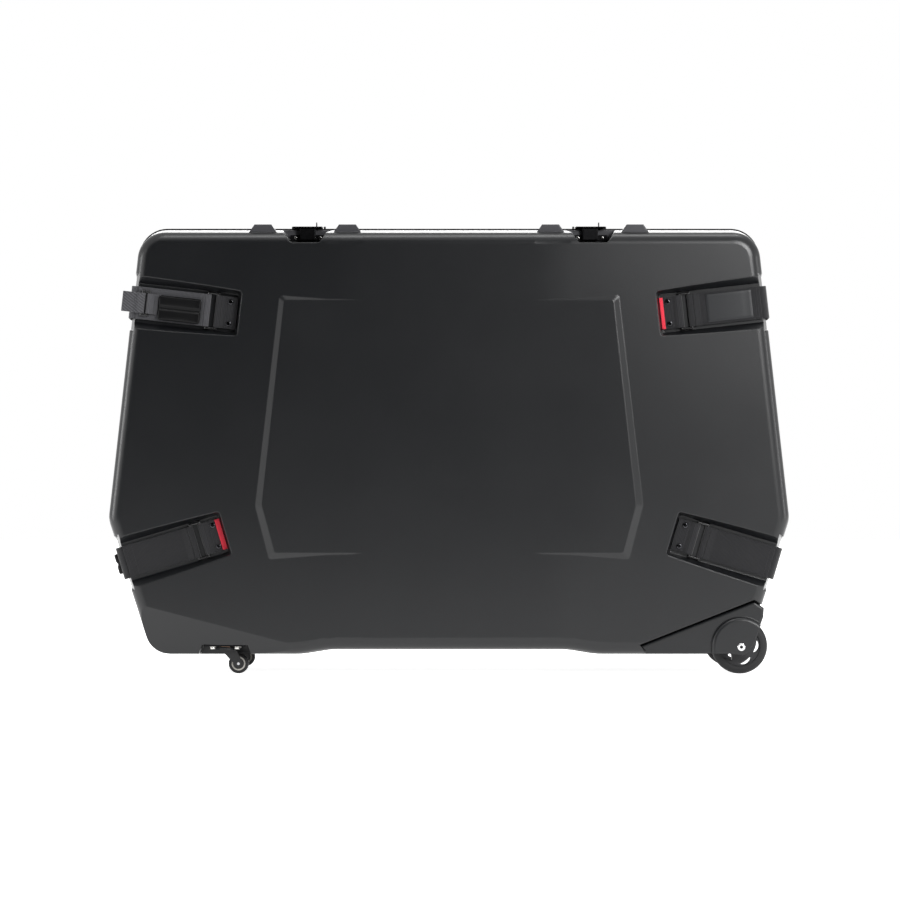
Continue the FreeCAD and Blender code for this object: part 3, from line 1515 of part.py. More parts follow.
upper_place = places[1]
lower_place = places[3]
patch_over = flap_over + d.patch_thickness
nodes["pull_patch"] = slab("pull_patch", upper_place, -d.patch_start, -d.patch_end, -patch_over, -flap_over,
                           d.patch_half)
for maker, kind in ((carry_grip, "carry_grip"), (carry_loop, "carry_loop"), (carry_ring, "carry_ring"),
                    (carry_tail, "carry_tail")):
    nodes[kind] = left_of(maker(kind + "_right", upper_place), kind)
nodes["side_grip"] = left_of(side_grip("side_grip_right", lower_place), "side_grip")
tag_near = -d.tab_start
tag_far = tag_near + d.tag_width
tag_over = tab_over + d.tag_thickness
tag_upper = slab("tag_upper", upper_place, tag_near, tag_far, -tag_over, -tab_over, d.tag_half)
tag_lower = slab("tag_lower", lower_place, tag_near, tag_far, -tag_over, -tab_over, d.tag_half)
nodes["side_tags"] = grouped("side_tags", [tag_upper, left_of(tag_lower, "tag_lower_left")])

screw_length = d.web * 2 + d.wall + d.plate_thickness
screw = round_head("screw", d.screw_radius, d.screw_head_radius, d.screw_head_height, screw_length)
rivet_length = d.latch_plate_thickness + d.wall
rivet = round_head("rivet", d.rivet_radius, d.rivet_head_radius, d.rivet_head_height, rivet_length)
fasteners = spread_out(screw, "screw", strap_screw_points(), -tab_over)
fasteners += spread_out(rivet, "rivet", rivet_points(), -d.latch_recess_wall - d.latch_plate_thickness)
nodes["front_screws"] = grouped("front_screws", fasteners)
nodes["back_screws"] = back_of(nodes["front_screws"], "back_screws")

keeper = latch_keeper("keeper")
base = latch_base("base")
lever = latch_lever("lever")
pin = latch_pin("pin")
for source, label in ((keeper, "latch_keepers"), (base, "latch_bases"), (pin, "latch_pins")):
    pair = [linked(source, "%s_%d" % (label, number), side * d.latch_place, ZERO, ZERO)
            for number, side in enumerate((-1, 1), start=1)]
    nodes[label] = grouped(label, pair)
for side, label in ((-1, "left_latch_lever"), (1, "right_latch_lever")):
    nodes[label] = linked(lever, label, side * d.latch_place, ZERO, ZERO)

wheel_tyre = tyre("front_wheel_tyre", wheel_centre, wheel_depth, d.tyre_inner_radius, d.tyre_width,
                  d.tyre_edge_radius)
caster_tyre = tyre("front_caster_tyre", caster_wheel_centre, caster_depth, d.caster_tyre_inner_radius,
                   d.caster_wheel_width, d.caster_tyre_edge_radius)
for piece in (wheel_housing("front_wheel_housing"), wheel_axle("front_wheel_axle"), wheel_tyre,
              wheel_core("front_wheel_core"), wheel_bearings("front_wheel_bearings"),
              caster_plate("front_caster_plate"), caster_fork("front_caster_fork"),
              caster_axle("front_caster_axle"), caster_tyre, caster_hub("front_caster_hub"),
              foam_mat("front_foam_mat")):
    nodes[piece.Name] = piece
    twin = piece.Name.replace("front", "back")
    nodes[twin] = back_of(piece, twin)
nodes["tie_straps"] = tie_straps("tie_straps")
nodes["tie_buckles"] = tie_buckles("tie_buckles")

document.recompute()
for thing in document.Objects:
    if "Invalid" in thing.State or "Error" in thing.State:
        raise RuntimeError("%s did not build: %s" % (thing.Name, thing.State))
for label, thing in nodes.items():
    thing.Label = label
    if thing.Shape.isNull() or not thing.Shape.isValid() or not thing.Shape.Solids:
        raise RuntimeError("%s has no valid solid" % label)
os.makedirs("parts", exist_ok=True)
for label, thing in nodes.items():
    thing.Shape.exportStep("parts/%s.step" % label)
print("%d pieces written" % len(nodes))
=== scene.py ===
import json
import math

import bmesh
import bpy
from mathutils import Matrix, Vector


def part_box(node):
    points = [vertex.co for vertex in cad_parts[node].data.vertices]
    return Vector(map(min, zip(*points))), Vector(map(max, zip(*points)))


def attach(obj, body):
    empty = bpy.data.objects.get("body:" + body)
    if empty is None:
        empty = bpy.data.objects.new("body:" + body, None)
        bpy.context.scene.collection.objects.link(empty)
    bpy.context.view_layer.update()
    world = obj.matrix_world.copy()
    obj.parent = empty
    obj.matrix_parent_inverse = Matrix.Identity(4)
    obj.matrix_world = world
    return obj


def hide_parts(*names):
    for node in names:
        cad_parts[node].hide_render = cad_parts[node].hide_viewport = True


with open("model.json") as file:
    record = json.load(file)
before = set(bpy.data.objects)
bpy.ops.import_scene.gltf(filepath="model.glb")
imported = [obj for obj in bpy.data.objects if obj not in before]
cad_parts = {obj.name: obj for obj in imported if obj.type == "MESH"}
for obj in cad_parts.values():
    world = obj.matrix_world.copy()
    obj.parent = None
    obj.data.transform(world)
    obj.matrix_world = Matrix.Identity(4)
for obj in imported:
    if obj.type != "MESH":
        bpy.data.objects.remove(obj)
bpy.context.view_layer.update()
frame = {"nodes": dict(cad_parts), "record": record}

bl_info = {
    "name": "Bike travel case",
    "version": (1, 0, 0),
    "blender": (4, 5, 0),
    "location": "View3D > Sidebar > Travel case",
    "description": "Dresses the packed travel case with webbing, padded grips, foam and its finishes",
    "category": "Object",
}

MM = 0.001

# Strap places: distance of the case's edge from the middle, height, and tilt in degrees.
LEVELS = {"upper": (564.13, 666.0, 6.4), "lower": (582.54, 199.0, -16.5)}
SIDES = {"left": -1, "right": 1}

# Middles of the webbing layers, in millimetres outwards from the parting plane.
STRAP_LAYER = 129.4
FOLD_LAYER = 136.2
FLAP_LAYER = 132.1
TAB_LOW_LAYER = 129.2
TAB_TOP_LAYER = 131.6
FLAP_FACE = 133.35

# Places along a strap, in millimetres outwards from the case's edge.
SIDE_AT_PARTING = 13.8
SIDE_AT_FACE = 5.3
FLAP_END = -6.0
BOW_START = -114.0
FLAP_FOOT = -114.7
FLAP_START = -126.7
STRAP_END = -127.0
STRAP_FOLD = -136.4
TAB_FOLD = -147.4
BACK_END = -184.0
TAB_END = -186.0

# Radius of the webbing's middle round a ring, in millimetres, and a flap's rise towards its ring.
RING_BEND = 3.3
RING_SLOPE = 0.344

# Heights in the frame above which the ribs and the latches' rivets stand, the caster hub's dark web, and
# the widths over which the shell and the hub change colour; the shell's change is painted light on its ribs.
RIB_FOOT = 0.7895
RIB_FADE = 0.003
RIVET_FOOT = 0.74
HUB_WELL = 0.0098
HUB_FADE = 0.0003


def srgb(code):
    """A hex colour as the linear values that shaders take."""
    parts = [int(code[at:at + 2], 16) / 255 for at in (1, 3, 5)]
    return tuple(((p + 0.055) / 1.055) ** 2.4 if p > 0.04045 else p / 12.92 for p in parts)


class CaseSizes(bpy.types.PropertyGroup):
    """Sizes of the soft goods."""

    web_width: bpy.props.FloatProperty(
        name="Webbing width", description="Width of the four straps", default=0.058, unit="LENGTH")
    web_thickness: bpy.props.FloatProperty(
        name="Webbing thickness", description="Thickness of one layer of strap", default=0.0024,
        unit="LENGTH")
    rib_pitch: bpy.props.FloatProperty(
        name="Rib pitch", description="Distance between the weave's ribs", default=0.0022, unit="LENGTH")
    stitch: bpy.props.FloatProperty(
        name="Stitch length", description="Length of one stitch with its gap", default=0.0036, unit="LENGTH")
    flap_bow: bpy.props.FloatProperty(
        name="Flap bow", description="How far a flap bows off the strap at its middle", default=0.0012,
        unit="LENGTH")


class CaseColours(bpy.types.PropertyGroup):
    """Colours of the main finishes."""

    shell: bpy.props.FloatVectorProperty(
        name="Shell", description="Moulded shell", default=srgb("#111214"), subtype="COLOR")
    webbing: bpy.props.FloatVectorProperty(
        name="Webbing", description="Straps, loops and tie-downs", default=srgb("#1b1b1d"), subtype="COLOR")
    # a paler webbing for the upper left corner: the light that falls there, painted into its colour
    painted_lit_webbing: bpy.props.FloatVectorProperty(
        name="Painted-lit webbing", description="Upper left strap, its loop and its tail", default=srgb("#454548"),
        subtype="COLOR")
    tag: bpy.props.FloatVectorProperty(
        name="Tag", description="Woven side tags", default=srgb("#e83a4c"), subtype="COLOR")
    floor: bpy.props.FloatVectorProperty(
        name="Floor", description="Studio floor", default=srgb("#f4f4f4"), subtype="COLOR")


def add_node(tree, kind, inputs=None, **settings):
    """Add a shader node with its settings, and feed its inputs with values or with other nodes' outputs."""
    node = tree.nodes.new("ShaderNode" + kind)
    for key, value in settings.items():
        setattr(node, key, value)
    for key, value in (inputs or {}).items():
        if isinstance(value, bpy.types.NodeSocket):
            tree.links.new(value, node.inputs[key])
        else:
            node.inputs[key].default_value = value
    return node


def new_finish(name, colour, roughness, metallic=0.0, specular=0.5):
    """A material with one Principled shader; returns it with its node tree and shader."""
    material = bpy.data.materials.new(name)
    material.use_nodes = True
    shader = material.node_tree.nodes["Principled BSDF"]
    shader.inputs["Base Color"].default_value = (*colour, 1.0)
    shader.inputs["Roughness"].default_value = roughness
    shader.inputs["Metallic"].default_value = metallic
    shader.inputs["Specular IOR Level"].default_value = specular
    material.diffuse_color = (*colour, 1.0)
    return material, material.node_tree, shader


def noise(tree, scale, detail, roughness=0.5):
    """A noise pattern laid in the object's own coordinates."""
    place = add_node(tree, "TexCoord").outputs["Object"]
    return add_node(tree, "TexNoise", {"Vector": place, "Scale": scale, "Detail": detail,
                                       "Roughness": roughness}).outputs["Fac"]


def drifting_gloss(shader, pattern, low, high):
    """Run a finish's roughness between two values by a pattern."""
    tree = shader.id_data
    gloss = add_node(tree, "MapRange", {"Value": pattern, "From Min": 0.3, "From Max": 0.7,
                                        "To Min": low, "To Max": high})
    tree.links.new(gloss.outputs["Result"], shader.inputs["Roughness"])


def patterned(shader, colour, tones, part, height, depth_mm, strength, edge_mm=0.0):
    """Run a finish's colour between two strengths by a pattern, raise its surface and round its edges."""
    tree = shader.id_data
    dark, light = [(*(min(channel * tone, 1.0) for channel in colour), 1.0) for tone in tones]
    shade = add_node(tree, "Mix", {0: part, 6: dark, 7: light}, data_type="RGBA")
    bump = add_node(tree, "Bump", {"Height": height, "Distance": depth_mm * MM, "Strength": strength})
    if edge_mm:
        rounded = add_node(tree, "Bevel", {"Radius": edge_mm * MM}, samples=6)
        tree.links.new(rounded.outputs["Normal"], bump.inputs["Normal"])
    tree.links.new(shade.outputs[2], shader.inputs["Base Color"])
    tree.links.new(bump.outputs["Normal"], shader.inputs["Normal"])


def repaint(material, part, colour):
    """Paint another colour over part of a finish."""
    tree = material.node_tree
    base = tree.nodes["Principled BSDF"].inputs["Base Color"]
    plain = base.links[0].from_socket
    shade = add_node(tree, "Mix", {0: part, 6: plain, 7: (*colour, 1.0)}, data_type="RGBA")
    tree.links.new(shade.outputs[2], base)
    return material


def moulded_plastic(name, colour, roughness, specular, grain_mm, edge_mm, depth_mm=0.12):
    """Injection-moulded plastic: a spark-eroded grain, softened edges and a slow drift in the gloss."""
    material, tree, shader = new_finish(name, colour, roughness, 0.0, specular)
    grain = noise(tree, 1000 / grain_mm, 3.0, 0.6)
    drifting_gloss(shader, noise(tree, 6.0, 4.0, 0.55), roughness - 0.012, roughness + 0.015)
    patterned(shader, colour, (0.82, 1.2), grain, grain, depth_mm, 0.6, edge_mm)
    return material


def shell_with_painted_rib_light(name, colour, painted_rib_light):
    """Charcoal ABS shell: as moulded, with the upright walls of the ribs on top painted paler, a painted
    reflection of the light from above.
    """
    # the real grain is about half a millimetre, drawn at 3 mm so that it shows at this size
    material = moulded_plastic(name, colour, 0.32, 0.42, 3.0, 3.0)
    tree = material.node_tree
    place = add_node(tree, "TexCoord")
    spot = add_node(tree, "SeparateXYZ", {"Vector": place.outputs["Object"]})
    facing = add_node(tree, "SeparateXYZ", {"Vector": place.outputs["Normal"]})
    upright = add_node(tree, "Math", {0: facing.outputs["Y"]}, operation="ABSOLUTE")
    wall = add_node(tree, "MapRange", {"Value": upright.outputs["Value"], "From Min": 0.5, "From Max": 0.8})
    high = add_node(tree, "MapRange", {"Value": spot.outputs["Z"], "From Min": RIB_FOOT,
                                       "From Max": RIB_FOOT + RIB_FADE})
    # painted light: the ribs' upright walls are painted paler, as if they caught the light from above
    painted_light_part = add_node(tree, "Math", {0: wall.outputs["Result"], 1: high.outputs["Result"]},
                    operation="MULTIPLY")
    return repaint(material, painted_light_part.outputs["Value"], painted_rib_light)


def woven(name, colour, pitch, contrast=(0.45, 1.7), cross=0.5, depth_mm=0.35, slant=0.0):
    """Woven nylon: raised ribs across the band, finer warp threads along it, a matt face with some sheen."""
    material, tree, shader = new_finish(name, colour, 0.82, 0.0, 0.25)
    shader.inputs["Sheen Weight"].default_value = 0.25
    shader.inputs["Sheen Roughness"].default_value = 0.5
    place = add_node(tree, "TexCoord").outputs["UV"]
    laid = add_node(tree, "Mapping", {"Vector": place, "Rotation": (0.0, 0.0, slant)})
    # the sine bands of this texture repeat every tenth of pi
    ribs = add_node(tree, "TexWave", {"Vector": laid.outputs["Vector"], "Scale": math.pi / 10 / pitch,
                                      "Distortion": 0.6, "Detail Scale": 2.0}, bands_direction="X")
    warp = add_node(tree, "TexWave", {"Vector": laid.outputs["Vector"],
                                      "Scale": math.pi / 10 / (pitch * cross), "Distortion": 0.4},
                    bands_direction="Y")
    weave = add_node(tree, "Math", {0: warp.outputs["Fac"], 1: 0.45, 2: ribs.outputs["Fac"]},
                     operation="MULTIPLY_ADD")
    fuzz = noise(tree, 260.0, 2.0)
    mottle = add_node(tree, "Math", {0: fuzz, 1: 0.5, 2: weave.outputs["Value"]}, operation="MULTIPLY_ADD")
    part = add_node(tree, "MapRange", {"Value": mottle.outputs["Value"], "From Min": 0.2, "From Max": 1.7})
    patterned(shader, colour, contrast, part.outputs["Result"], weave.outputs["Value"], depth_mm, 0.8)
    return material


def metal(name, colour, roughness, scratch_mm):
    """Plated or ground steel: fine random scratches and small stains in the gloss."""
    material, tree, shader = new_finish(name, colour, roughness, 1.0)
    scratches = noise(tree, 1000 / scratch_mm, 5.0)
    drifting_gloss(shader, scratches, roughness * 0.75, roughness * 1.3)
    patterned(shader, colour, (0.85, 1.1), scratches, scratches, 0.02, 0.5, 0.4)
    return material


def screws_and_rivets(name, black, bright):
    """Round heads of blackened zinc at the straps, and the latches' rivets above them, left bright."""
    material = metal(name, black, 0.14, 1.0)
    tree = material.node_tree
    place = add_node(tree, "TexCoord")
    spot = add_node(tree, "SeparateXYZ", {"Vector": place.outputs["Object"]})
    high = add_node(tree, "Math", {0: spot.outputs["Z"], 1: RIVET_FOOT}, operation="GREATER_THAN")
    return repaint(material, high.outputs["Value"], bright)


def dished_hub(name, rim, well):
    """Moulded nylon caster hub: a pale worn rim round a dark dished web."""
    material = moulded_plastic(name, rim, 0.42, 0.45, 1.6, 0.5)
    tree = material.node_tree
    low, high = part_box("front_caster_hub")
    middle = (low + high) / 2
    place = add_node(tree, "TexCoord")
    flat = add_node(tree, "Mapping", {"Vector": place.outputs["Object"], "Scale": (1.0, 0.0, 1.0),
                                      "Location": (-middle.x, 0.0, -middle.z)})
    reach = add_node(tree, "VectorMath", {0: flat.outputs["Vector"]}, operation="LENGTH")
    inner = add_node(tree, "MapRange", {"Value": reach.outputs["Value"], "From Min": HUB_WELL + HUB_FADE,
                                        "From Max": HUB_WELL - HUB_FADE})
    return repaint(material, inner.outputs["Result"], well)


def rubber(name, colour, roughness, grain_mm, specular=0.3):
    """Moulded rubber: matt, with a faint bloom where it has been handled."""
    material, tree, shader = new_finish(name, colour, roughness, 0.0, specular)
    grain = noise(tree, 1000 / grain_mm, 4.0)
    patterned(shader, colour, (0.75, 1.35), grain, grain, 0.08, 0.5, 0.6)
    return material


def foam(name, colour, cell_mm):
    """Open-cell polyurethane foam: small dark pores in a dull face."""
    material, tree, shader = new_finish(name, colour, 0.95, 0.0, 0.1)
    place = add_node(tree, "TexCoord").outputs["Object"]
    cells = add_node(tree, "TexVoronoi", {"Vector": place, "Scale": 1000 / cell_mm}).outputs["Distance"]
    patterned(shader, colour, (0.5, 1.4), cells, cells, 0.8, 0.6)
    return material


FINISHES = {}


def make_finishes():
    """Make every finish, with its roughness, gloss and pattern sizes in the order of its maker's values."""
    colours = bpy.context.scene.case_colours
    pitch = bpy.context.scene.case_sizes.rib_pitch
    shell, web, tag = tuple(colours.shell), tuple(colours.webbing), tuple(colours.tag)
    pale = tuple(colours.painted_lit_webbing)
    finishes = {
        # satin and nearly black, with soft light along its edges and a painted highlight on the walls of its
        # ribs
        "shell": shell_with_painted_rib_light("charcoal_abs_grained", shell, srgb("#404043")),
        # duller than the shell beside it
        "rim": moulded_plastic("black_rim_profile", srgb("#141415"), 0.5, 0.3, 2.0, 0.6),
        # a dull line in the groove
        "seal": rubber("black_rubber_seal", srgb("#151515"), 0.75, 1.5),
        # a soft grey lining full of pores
        "foam": foam("dark_grey_foam", srgb("#3b3b3e"), 3.0),
        # fine ribs across a matt band
        "webbing": woven("black_nylon_webbing", web, pitch),
        # the same weave, painted paler on the upper left strap and its loop: painted light
        "painted_lit_webbing": woven("painted_lit_nylon_webbing", pale, pitch, (0.6, 1.45)),
        # bold slanting ribs, a loosely woven tape, paler itself and painted lighter still as painted light
        "tape": woven("grey_twill_tape", pale, 0.0042, (0.5, 1.6), 0.5, 0.35, math.radians(58)),
        # smooth and almost without light
        "grip": rubber("black_neoprene_grip", srgb("#070708"), 0.42, 1.6, 0.16),
        # the one bright colour, with a faint ribbon weave
        "tag": woven("red_woven_ribbon", tag, 0.0014, (0.8, 1.2), 0.6, 0.2),
        # smooth beside the weave, with a soft sheen
        "patch": rubber("black_soft_rubber_patch", srgb("#222325"), 0.42, 2.5),
        # coarser ribs than the straps
        "tab": woven("black_tab_webbing", srgb("#202022"), 0.0026, (0.45, 1.7), 0.7, 0.3),
        # shiny black dip coat
        "wire": moulded_plastic("black_coated_wire", srgb("#101011"), 0.22, 0.6, 1.5, 0.4, 0.02),
        # each dome carries a small spark of light
        "screw": screws_and_rivets("blackened_zinc_screw", srgb("#4a4a4d"), srgb("#d0cfcc")),
        # lacquer over sheet steel, darker than the plastic
        "latch": metal("black_lacquered_steel", srgb("#1b1b1c"), 0.4, 1.6),
        # as the shell, a little finer in grain
        "housing": moulded_plastic("black_abs_housing", srgb("#111214"), 0.34, 0.42, 2.6, 3.5),
        # a mirror of the floor
        "axle": metal("polished_chrome_axle", srgb("#d9d9da"), 0.16, 1.2),
        # dull, greyer than the wheel's web
        "tyre": rubber("black_tyre_rubber", srgb("#19191a"), 0.55, 1.8),
        # satin black spokes
        "wheel_core": moulded_plastic("black_nylon_wheel", srgb("#1c1c1e"), 0.45, 0.35, 2.0, 0.8),
        # bright ground rings
        "bearing": metal("ground_bearing_steel", srgb("#b9b9bb"), 0.25, 1.0),
        # dark plating with a dull shine
        "caster_plate": metal("black_zinc_plate", srgb("#1d1d1e"), 0.42, 1.6),
        # bright plating
        "bolt": metal("bright_zinc_bolt", srgb("#d4d2ce"), 0.28, 1.0),
        # a warm glint between the bolts
        "race": metal("bronze_swivel_race", srgb("#dcb49c"), 0.5, 1.0),
        # an even satin black
        "caster_fork": moulded_plastic("black_powder_coat", srgb("#151516"), 0.4, 0.4, 1.2, 0.8),
        # a pale ring round a dark web
        "caster_hub": dished_hub("pale_grey_nylon_hub", srgb("#b4b1aa"), srgb("#161617")),
        # hard and slick
        "buckle": moulded_plastic("black_acetal_buckle", srgb("#161617"), 0.35, 0.45, 1.6, 0.8),
        # waxed thread, a touch lighter than the cloth
        "thread": rubber("black_bonded_thread", srgb("#343436"), 0.6, 0.8),
    }
    FINISHES.update(finishes)


def put_on(piece, slot, body, finish=None):
    """Give a piece the finish of its slot, or the one named instead, and let it ride on a body."""
    piece.data.materials.clear()
    piece.data.materials.append(FINISHES[finish or slot])
    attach(piece, body)
    return piece


def to_object(name, mesh):
    """Close a bmesh into a smooth-shaded object at the origin."""
    data = bpy.data.meshes.new(name)
    mesh.to_mesh(data)
    mesh.free()
    piece = bpy.data.objects.new(name, data)
    bpy.context.scene.collection.objects.link(piece)
    data.shade_smooth()
    return piece


def modify(piece, name, kind, **settings):
    """Add a modifier with its settings."""
    modifier = piece.modifiers.new(name, kind)
    for key, value in settings.items():
        setattr(modifier, key, value)


def prism(mesh, place, sides, radius, height, capped=True):
    """Add an upright prism, or a cylinder of many sides, at a place."""
    bmesh.ops.create_cone(mesh, cap_ends=capped, segments=sides, radius1=radius, radius2=radius, depth=height,
                          matrix=place)


def round_edges(mesh, edges, width, segments=2):
    """Round edges of a bmesh off."""
    bmesh.ops.bevel(mesh, geom=edges, offset=width, affect="EDGES", segments=segments, profile=0.5,
                    material=-1)


def strap_place(level, side):
    """Matrix from (outwards along a strap, out of the face, across it) in millimetres to the frame."""
    half, height, tilt = LEVELS[level]
    hand = SIDES[side]
    lean = math.radians(tilt)
    along = Vector((hand * math.cos(lean), 0, math.sin(lean)))
    across = Vector((-hand * math.sin(lean), 0, math.cos(lean)))
    out = Vector((0, -1, 0))
    place = Matrix((along, out, across)).transposed().to_4x4()
    place.translation = Vector((hand * half, 0, height))
    return Matrix.Scale(MM, 4) @ place


def corners():
    """Each strap's corner of the case, with its place."""
    return [("%s_%s" % (level, side), strap_place(level, side)) for level in LEVELS for side in SIDES]


def band_mesh(path, half, bends, wave=None):
    """A flat band along a path in millimetres, with rounded bends, and its length and width kept as a UV map.

    path holds (along, out) points, bends the radius at each inner point, and half the half width.
    wave(along, across) lifts the band out of its plane.
    """
    long_edge, spacing, strips = 6, 5, 12
    mesh = bmesh.new()
    points = [mesh.verts.new((along, out, 0)) for along, out in path]
    for one, two in zip(points, points[1:]):
        mesh.edges.new((one, two))
    for point, radius in zip(points[1:-1], bends):
        before, after = [edge.other_vert(point).co - point.co for edge in point.link_edges]
        reach = radius / math.tan(before.angle(after) / 2)
        bmesh.ops.bevel(mesh, geom=[point], offset=reach, offset_type="OFFSET", affect="VERTICES",
                        segments=8, profile=0.5, material=-1)
    for edge in [edge for edge in mesh.edges if edge.calc_length() > long_edge]:
        bmesh.ops.subdivide_edges(mesh, edges=[edge], cuts=int(edge.calc_length() // spacing))
    run = mesh.verts.layers.float.new("run")
    vert = min((vert for vert in mesh.verts if len(vert.link_edges) == 1),
               key=lambda vert: (vert.co - Vector((*path[0], 0))).length)
    edge = vert.link_edges[0]
    while edge:
        following = edge.other_vert(vert)
        following[run] = vert[run] + edge.calc_length()
        vert = following
        edge = next((other for other in vert.link_edges if other is not edge), None)
    bmesh.ops.translate(mesh, verts=mesh.verts, vec=(0, 0, -half))
    front = list(mesh.edges)
    for _ in range(strips):
        made = bmesh.ops.extrude_edge_only(mesh, edges=front)["geom"]
        front = [item for item in made if isinstance(item, bmesh.types.BMEdge)
                 and all(vert in made for vert in item.verts)]
        fresh = [item for item in made if isinstance(item, bmesh.types.BMVert)]
        bmesh.ops.translate(mesh, verts=fresh, vec=(0, 0, half * 2 / strips))
    uv = mesh.loops.layers.uv.new("UVMap")
    for face in mesh.faces:
        for loop in face.loops:
            loop[uv].uv = (loop.vert[run] * MM, loop.vert.co.z * MM)
    if wave:
        for vert in mesh.verts:
            vert.co.y += wave(vert[run], vert.co.z)
    return mesh


def webbing(name, place, path, half, bends, thickness, body, nodes, slot="webbing", held="laid", rests=(),
            wave=None, finish=None):
    """One length of webbing, as a sheet with its thickness."""
    mesh = band_mesh(path, half, bends, wave)
    mesh.transform(place)
    bmesh.ops.recalc_face_normals(mesh, faces=mesh.faces)
    piece = to_object(name, mesh)
    modify(piece, "thickness", "SOLIDIFY", thickness=thickness, offset=0)
    modify(piece, "selvedge", "BEVEL", width=thickness * 0.3, segments=2, limit_method="ANGLE",
           angle_limit=math.radians(60))
    put_on(piece, slot, body, finish)
    if nodes:
        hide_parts(*nodes)
    return piece


def flap_lift(corner, along):
    """How far a flap bows off its strap, in millimetres, at a place along it."""
    if corner == "upper_left":
        return 0.0
    share = min(max((along - BOW_START) / (FLAP_END - BOW_START), 0.0), 1.0)
    return bpy.context.scene.case_sizes.flap_bow / MM * math.sin(math.pi * share)


def ring_rise(along):
    """How far a flap has risen towards its ring, in millimetres, at a place along it."""
    return max(FLAP_FOOT - along, 0.0) * RING_SLOPE


def seam(along, face, reach):
    """Ends of a row of stitches across a strap."""
    return (along, face, -reach), (along, face, reach)


def stitch_rows(name, place, rows, body):
    """Rows of stitches: small beads of thread, each a few faces, along lines in a strap's own millimetres."""
    bead_share, thread_half = 0.36, 0.55
    pitch = bpy.context.scene.case_sizes.stitch / MM
    bead = Matrix.Diagonal((pitch * bead_share, thread_half, thread_half, 1))
    mesh = bmesh.new()
    for start, end in rows:
        run = Vector(end) - Vector(start)
        turn = run.to_track_quat("X", "Y").to_matrix().to_4x4()
        count = max(int(run.length / pitch), 1)
        for step in range(count):
            spot = Vector(start) + run * ((step + 0.5) / count)
            bmesh.ops.create_icosphere(mesh, subdivisions=1, radius=1,
                                       matrix=Matrix.Translation(spot) @ turn @ bead)
    mesh.transform(place)
    bmesh.ops.recalc_face_normals(mesh, faces=mesh.faces)
    return put_on(to_object(name, mesh), "webbing", body, "thread")


def blown_up(name, mesh, voxel, pressure, cap, sewn):
    """A padded form: the plain mesh is remeshed and blown up as cloth, with its sewn points held still."""
    frames = 20
    rough = to_object(name + "_rough", mesh)
    modify(rough, "even", "REMESH", mode="VOXEL", voxel_size=voxel)
    piece = bpy.data.objects.new(name, bpy.data.meshes.new_from_object(
        rough.evaluated_get(bpy.context.evaluated_depsgraph_get())))
    bpy.context.scene.collection.objects.link(piece)
    bpy.data.objects.remove(rough)
    start = [vert.co.copy() for vert in piece.data.vertices]
    group = piece.vertex_groups.new(name="sewn")
    group.add([vert.index for vert in piece.data.vertices if sewn(vert.co / MM)], 1.0, "ADD")
    cloth = piece.modifiers.new("cloth", "CLOTH")
    cloth.settings.vertex_group_mass = "sewn"
    cloth.settings.use_pressure = True
    cloth.settings.uniform_pressure_force = pressure
    cloth.settings.effector_weights.gravity = 0
    for number in range(1, frames + 1):
        bpy.context.scene.frame_set(number)
    blown = bpy.data.meshes.new_from_object(piece.evaluated_get(bpy.context.evaluated_depsgraph_get()))
    piece.modifiers.remove(cloth)
    piece.vertex_groups.clear()
    for vert, old, new in zip(piece.data.vertices, start, blown.vertices):
        move = new.co - old
        vert.co = old + move * min(1.0, cap / max(move.length, cap))
    bpy.data.meshes.remove(blown)
    bpy.context.scene.frame_set(1)
    return piece


def padded_grip(name, place, ends, half, middle, valley, thickness, floor, body, node):
    """A padded grip of two ridges with a sewn channel between them, in millimetres along, out and across."""
    start, end = ends
    # the plain blocks, as shares of the half width, and the room left in them for blowing up
    ridge_share, ridge_half_share, web_half_share = 0.51, 0.43, 0.9
    ridge_room, web_room, end_room, foot = 3.4, 2.4, 3.0, 0.8
    # the sewn line and foot, the channel beside the line, and the lower, rounded tips
    line_share, sewn_foot, channel_share = 0.07, 2.0, 0.16
    tip_share, tip_length = 0.72, 9.0
    ridge = thickness - ridge_room
    blocks = [(middle - half * ridge_share, half * ridge_half_share, ridge),
              (middle + half * ridge_share, half * ridge_half_share, ridge),
              (middle, half * web_half_share, valley - web_room)]
    mesh = bmesh.new()
    for across, reach, height in blocks:
        shape = (Matrix.Translation(((start + end) / 2, height / 2 + foot, across))
                 @ Matrix.Diagonal((end - start - end_room, height, reach * 2, 1)))
        bmesh.ops.create_cube(mesh, size=1, matrix=shape)
    bmesh.ops.scale(mesh, verts=mesh.verts, vec=(MM, MM, MM))

    def sewn(spot):
        return spot.y < sewn_foot or abs(spot.z - middle) < half * line_share

    piece = blown_up(name, mesh, voxel=0.0026, pressure=4.0, cap=0.005, sewn=sewn)
    for vert in piece.data.vertices:
        spot = vert.co / MM
        spot.x = min(max(spot.x, start), end)
        spot.z = min(max(spot.z, middle - half), middle + half)
        dip = math.exp(-((spot.z - middle) / (half * channel_share)) ** 2)
        tip = min(min(spot.x - start, end - spot.x) / tip_length, 1.0)
        top = (thickness + (valley - thickness) * dip) * (tip_share + (1 - tip_share) * tip ** 0.5)
        spot.y = min(max(spot.y, 0.0), top) + floor(spot.x)
        vert.co = spot
    piece.data.transform(place)
    piece.data.shade_smooth()
    modify(piece, "smooth", "SMOOTH", iterations=4)
    modify(piece, "finer", "SUBSURF", levels=1, render_levels=1)
    put_on(piece, "grip", body)
    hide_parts(node)
    return piece


